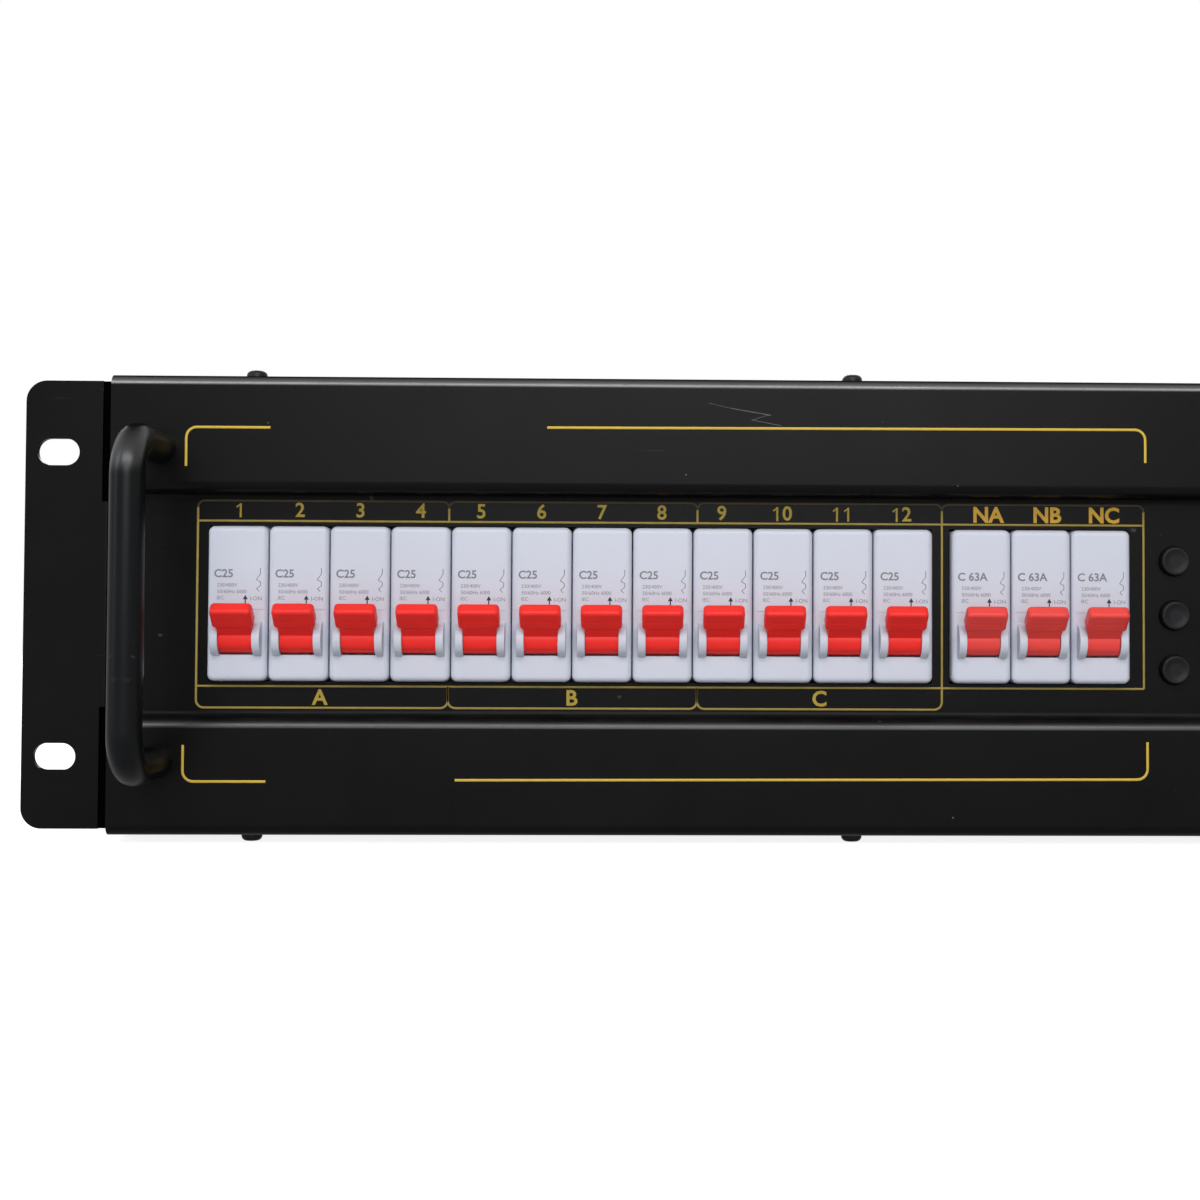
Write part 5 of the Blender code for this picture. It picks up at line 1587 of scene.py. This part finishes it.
@dataclass
class RearFittings(CarriedSet):
    """Fan, output strip, mains gland, signal sockets and the rear sheet that holds them."""

    pieces: tuple[Carried, ...] = (
        Carried("fan_frame", "fan_body", FAN_BLACK, "fan_black", 0.3),
        Carried("fan_rotor", "fan_blades", FAN_BLACK, "fan_black", 0.15, "fan_rotor"),
        Carried("output_terminals", "output_strip", TERMINAL_GREY, "terminal_grey", 0.2),
        Carried("signal_sockets", "control_sockets", MODULE_BLACK, "module_black", 0.3),
    )
    poles: int = 24
    pitch: float = 7.0
    pin_ring: float = 5.2
    plate: float = 359.8
    lip: float = 361.6
    fan: Pair = (20.7, 35.75)
    fan_rings: Triple = (13.0, 22.5, 32.0)
    ring_half: float = 3.0
    bar_half: float = 2.5
    gland: Pair = (186.0, -20.0)
    pins: int = 5

    def strip_screws(self) -> None:
        """Put a slotted screw in each pocket of the output strip."""
        low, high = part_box("output_terminals")
        left = (low.x + high.x) / 2 - self.poles * self.pitch / 2 * MM
        floor = high.y / MM - 7
        top = floor + 1.6
        head = rod("strip_screw", Vector((0, floor, 0)) * MM, 1.6, 2.2, 16)
        round_edges(head, lies_at(Axis.Y, top * MM), 0.4, 2)
        spans = ((3, top - 0.6, top + 1, 0.3), (2.6, floor - 0.1, floor + 0.5, 4.2))
        slot, clamp = [
            block("tool", Vector((-x, near, -z)) * MM, Vector((x, far, z)) * MM)
            for x, near, far, z in spans
        ]
        softened(joined("strip_screw", [cut(head, slot), clamp]), 0.1, 1)
        middle = at(0, 0, -34 + 2.5).z
        places = [left + (pole + 0.5) * self.pitch * MM for pole in range(self.poles)]
        heads = [copied(head, "pole_screw", Matrix.Translation((x, 0, middle))) for x in places]
        bpy.data.objects.remove(head)
        dress(joined("output_screws", heads), ZINC)

    def contacts(self) -> None:
        """Put a ring of contacts in each signal socket."""
        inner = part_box("signal_sockets")[1].y - 14.2 * MM
        for name, x in (("socket_pins_left", 105.0), ("socket_pins_right", 141.0)):
            pins = []
            for index in range(self.pins):
                angle = pi * (0.12 + 0.19 * index)
                place = at(x + self.pin_ring * cos(angle), 0, 30 + self.pin_ring * sin(angle))
                place.y = inner
                pins.append(rod("pin", place, 9, 0.75, 14))
            dress(softened(joined(name, pins), 0.2), BRASS)

    def rear_screws(self) -> None:
        """Put a pan head where the rear panel, the cover's lip and the fan are fixed."""
        pattern = FrontPanel().screw()
        pattern.data.transform(Matrix.Translation(-at(0, 0, 0)))
        fan_x, half = self.fan
        places = [(side * 207.0, self.plate, z) for side in (-1, 1) for z in (-48.0, 0.0, 42.0)]
        places += [(fan_x + x, self.plate, z) for x in (-half, half) for z in (-half, half)]
        places += [(x, self.lip, 58.0) for x in (-150.0, 0.0, 150.0)]
        turn = Matrix.Rotation(-pi / 2, 4, "X")
        moves = [Matrix.Translation(at(*place)) @ turn for place in places]
        heads = [copied(pattern, "rear_screw", move) for move in moves]
        bpy.data.objects.remove(pattern)
        dress(joined("rear_screws", heads), BLACK_SCREW)

    def rear_sheet(self) -> None:
        """Close the rear sheet's fan opening and cut its curved slots anew, with smooth edges."""
        sheet = from_node("rear_panel", "case_rear", 0.2)
        x = self.fan[0]
        plug = rod("plug", at(x, self.plate - 1.53, 0), 1.56, 35.83, 96)
        for ring in self.fan_rings:
            slots = rod("slots", at(x, 357, 0), 4, ring + self.ring_half, 96)
            island = rod("island", at(x, 356, 0), 6, ring - self.ring_half, 96)
            bars = [
                block("bar", at(x - wide, 356, -tall), at(x + wide, 362, tall))
                for wide, tall in ((40, self.bar_half), (self.bar_half, 40))
            ]
            cut(plug, cut(slots, island, *bars))
        cut(sheet, rod("opening", at(x, 356, 0), 6, 35.8, 96))
        joined("case_rear", [sheet, plug])
        dress(shaded(sheet), CASE_ENAMEL, "rear_panel")

    def mains_gland(self) -> None:
        """Make the gland: locknut, barrel, hexagon and dome nut round a bore with its seal."""
        x, z = self.gland
        flats = (("locknut", 352.0, 6.0), ("hexagon", 360.1, 7.0))
        nuts = [rod(name, at(x, y, z), long, 20.5, 6) for name, y, long in flats]
        dome = rod("dome", at(x, 367.1, z), 14, 17.7, 72)
        round_edges(dome, lies_at(Axis.Y, at(0, 381.1, 0).y), 5.2, 7)
        barrel = fused(rod("mains_gland", at(x, 351.6, z), 16, 15.8, 72), *nuts, dome)
        cut(barrel, rod("bore", at(x, 340, z), 50, 8.5, 48))
        dress(softened(barrel, 0.4), GLAND_GREY, "cable_gland")
        seal = rod("gland_seal", at(x, 366, z), 9, 8.5, 48)
        cut(seal, rod("hole", at(x, 360, z), 20, 6.2, 48))
        dress(softened(seal, 0.6, 3), FAN_BLACK)

    def build(self) -> None:
        """Make the rear fittings."""
        super().build()
        self.strip_screws()
        self.contacts()
        self.rear_screws()
        self.rear_sheet()
        self.mains_gland()


# Studio


@dataclass
class Studio:
    """Floor, lights, world and camera."""

    eye: Triple = (-64.109, -552.349, -0.282)
    across: Triple = (0.99968, -0.024902, 0.004444)
    ahead: Triple = (0.02475, 0.999202, 0.031335)
    upward: Triple = (-0.005221, -0.031215, 0.999499)
    focal: float = 1869.77
    centre: Pair = (680.0, 548.91)
    frame_size: float = 1200.0
    sensor: float = 36.0

    def camera(self) -> None:
        """Set the camera at the photograph's place."""
        lens = bpy.data.cameras.new("photo_camera")
        lens.sensor_width = self.sensor
        lens.lens = self.focal * self.sensor / self.frame_size
        lens.shift_x = (self.frame_size / 2 - self.centre[0]) / self.frame_size
        lens.shift_y = (self.centre[1] - self.frame_size / 2) / self.frame_size
        lens.clip_start = 0.01
        lens.clip_end = 50
        eye = placed("photo_camera", lens)
        turn = Matrix((self.across, self.upward, [-value for value in self.ahead])).transposed()
        eye.matrix_world = Matrix.Translation(at(*self.eye)) @ turn.to_4x4()
        bpy.context.scene.camera = eye

    def lamp(
        self, name: str, place: Vector, aim: Vector, size: Pair, power: float, tint: Triple
    ) -> None:
        """Hang one soft rectangular lamp.

        Args:
            name: The lamp's name.
            place: Where it hangs.
            aim: The point that it faces.
            size: Its width and height in metres.
            power: Its power in watts.
            tint: Its colour.
        """
        light = bpy.data.lights.new(name, "AREA")
        light.shape = "RECTANGLE"
        light.size, light.size_y = size
        light.energy = power
        light.color = tint
        lamp = placed(name, light)
        lamp.location = place
        lamp.rotation_euler = (aim - place).to_track_quat("-Z", "Y").to_euler()

    def seen(self, wiring: Wiring, gloss: float) -> Socket:
        """Tell rays of the camera, of glass and of reflections from all others.

        Args:
            wiring: The tree to add it to.
            gloss: How much a reflection counts.

        Returns:
            The share's socket.
        """
        rays = wiring.add("LightPath").outputs
        seen = wiring.maths("MAXIMUM", rays["Is Camera Ray"], rays["Is Transmission Ray"])
        return wiring.maths("MAXIMUM", seen, wiring.product(rays["Is Glossy Ray"], gloss))

    def backdrop(self) -> None:
        """Make the world white behind the object and soft on it."""
        world = bpy.data.worlds.new("studio")
        world.use_nodes = True
        bpy.context.scene.world = world
        wiring = Wiring(world.node_tree)
        feeds = {0: self.seen(wiring, 1.0), 3: 0.14, 4: 1.0}
        strength = wiring.add("MapRange", feeds).outputs[0]
        background = world.node_tree.nodes["Background"]
        wiring.fill(background, {"Strength": strength, "Color": (1, 1, 1, 1)})

    def floor(self) -> None:
        """Lay the pale floor under the object."""
        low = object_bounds()[0][2] - 0.0001
        bpy.ops.mesh.primitive_plane_add(size=24, location=(0, 0, low))
        ground = settle("studio_floor")
        skin = Skin("studio_floor")
        feeds = {
            "Base Color": (0.65, 0.65, 0.65, 1),
            "Roughness": 0.9,
            "Specular IOR Level": 0.1,
            "Emission Color": (1, 1, 1, 1),
            "Emission Strength": skin.product(self.seen(skin, 0.4), 0.86),
        }
        skin.fill(skin.shader, feeds)
        ground.data.materials.append(bpy.data.materials["studio_floor"])
        ground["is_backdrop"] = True

    def build(self) -> None:
        """Set up the studio."""
        self.camera()
        self.backdrop()
        self.floor()
        aim = at(0, 0, 0)
        rear = at(0, 300, 0)
        self.lamp("key_lamp", at(-60, -1150, 1050), aim, (1.6, 0.4), 12, (1, 0.99, 0.97))
        self.lamp("fill_lamp", at(40, -1700, 450), aim, (1.0, 0.65), 10.5, (0.96, 0.98, 1))
        self.lamp("rear_lamp", at(-500, 1800, 900), rear, (1.2, 0.8), 22, (1, 1, 1))
        self.lamp("rim_lamp", at(-1100, -500, 350), aim, (0.3, 1.1), 3.5, (0.75, 0.86, 1))
        bpy.context.scene.view_settings.view_transform = "Standard"


def corners(bounds: tuple) -> list[list[float]]:
    """Turn a box into plain lists of numbers."""
    return [[float(value) for value in corner] for corner in bounds]


def main() -> None:
    """Build every sub-assembly in order."""
    logging.basicConfig(level=logging.INFO, format="%(name)s %(message)s")
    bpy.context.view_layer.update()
    assemblies = [
        FrontPanel(),
        BarHandle(Side.LEFT),
        BarHandle(Side.RIGHT),
        BreakerSet(),
        ControlGroup(),
        RackEar(Side.LEFT),
        RackEar(Side.RIGHT),
        SheetCase(),
        PowerSection(),
        RearFittings(),
        Studio(),
    ]
    for assembly in assemblies:
        LOG.info("building %s", type(assembly).__name__)
        assembly.build()


if __name__ == "__main__":
    main()
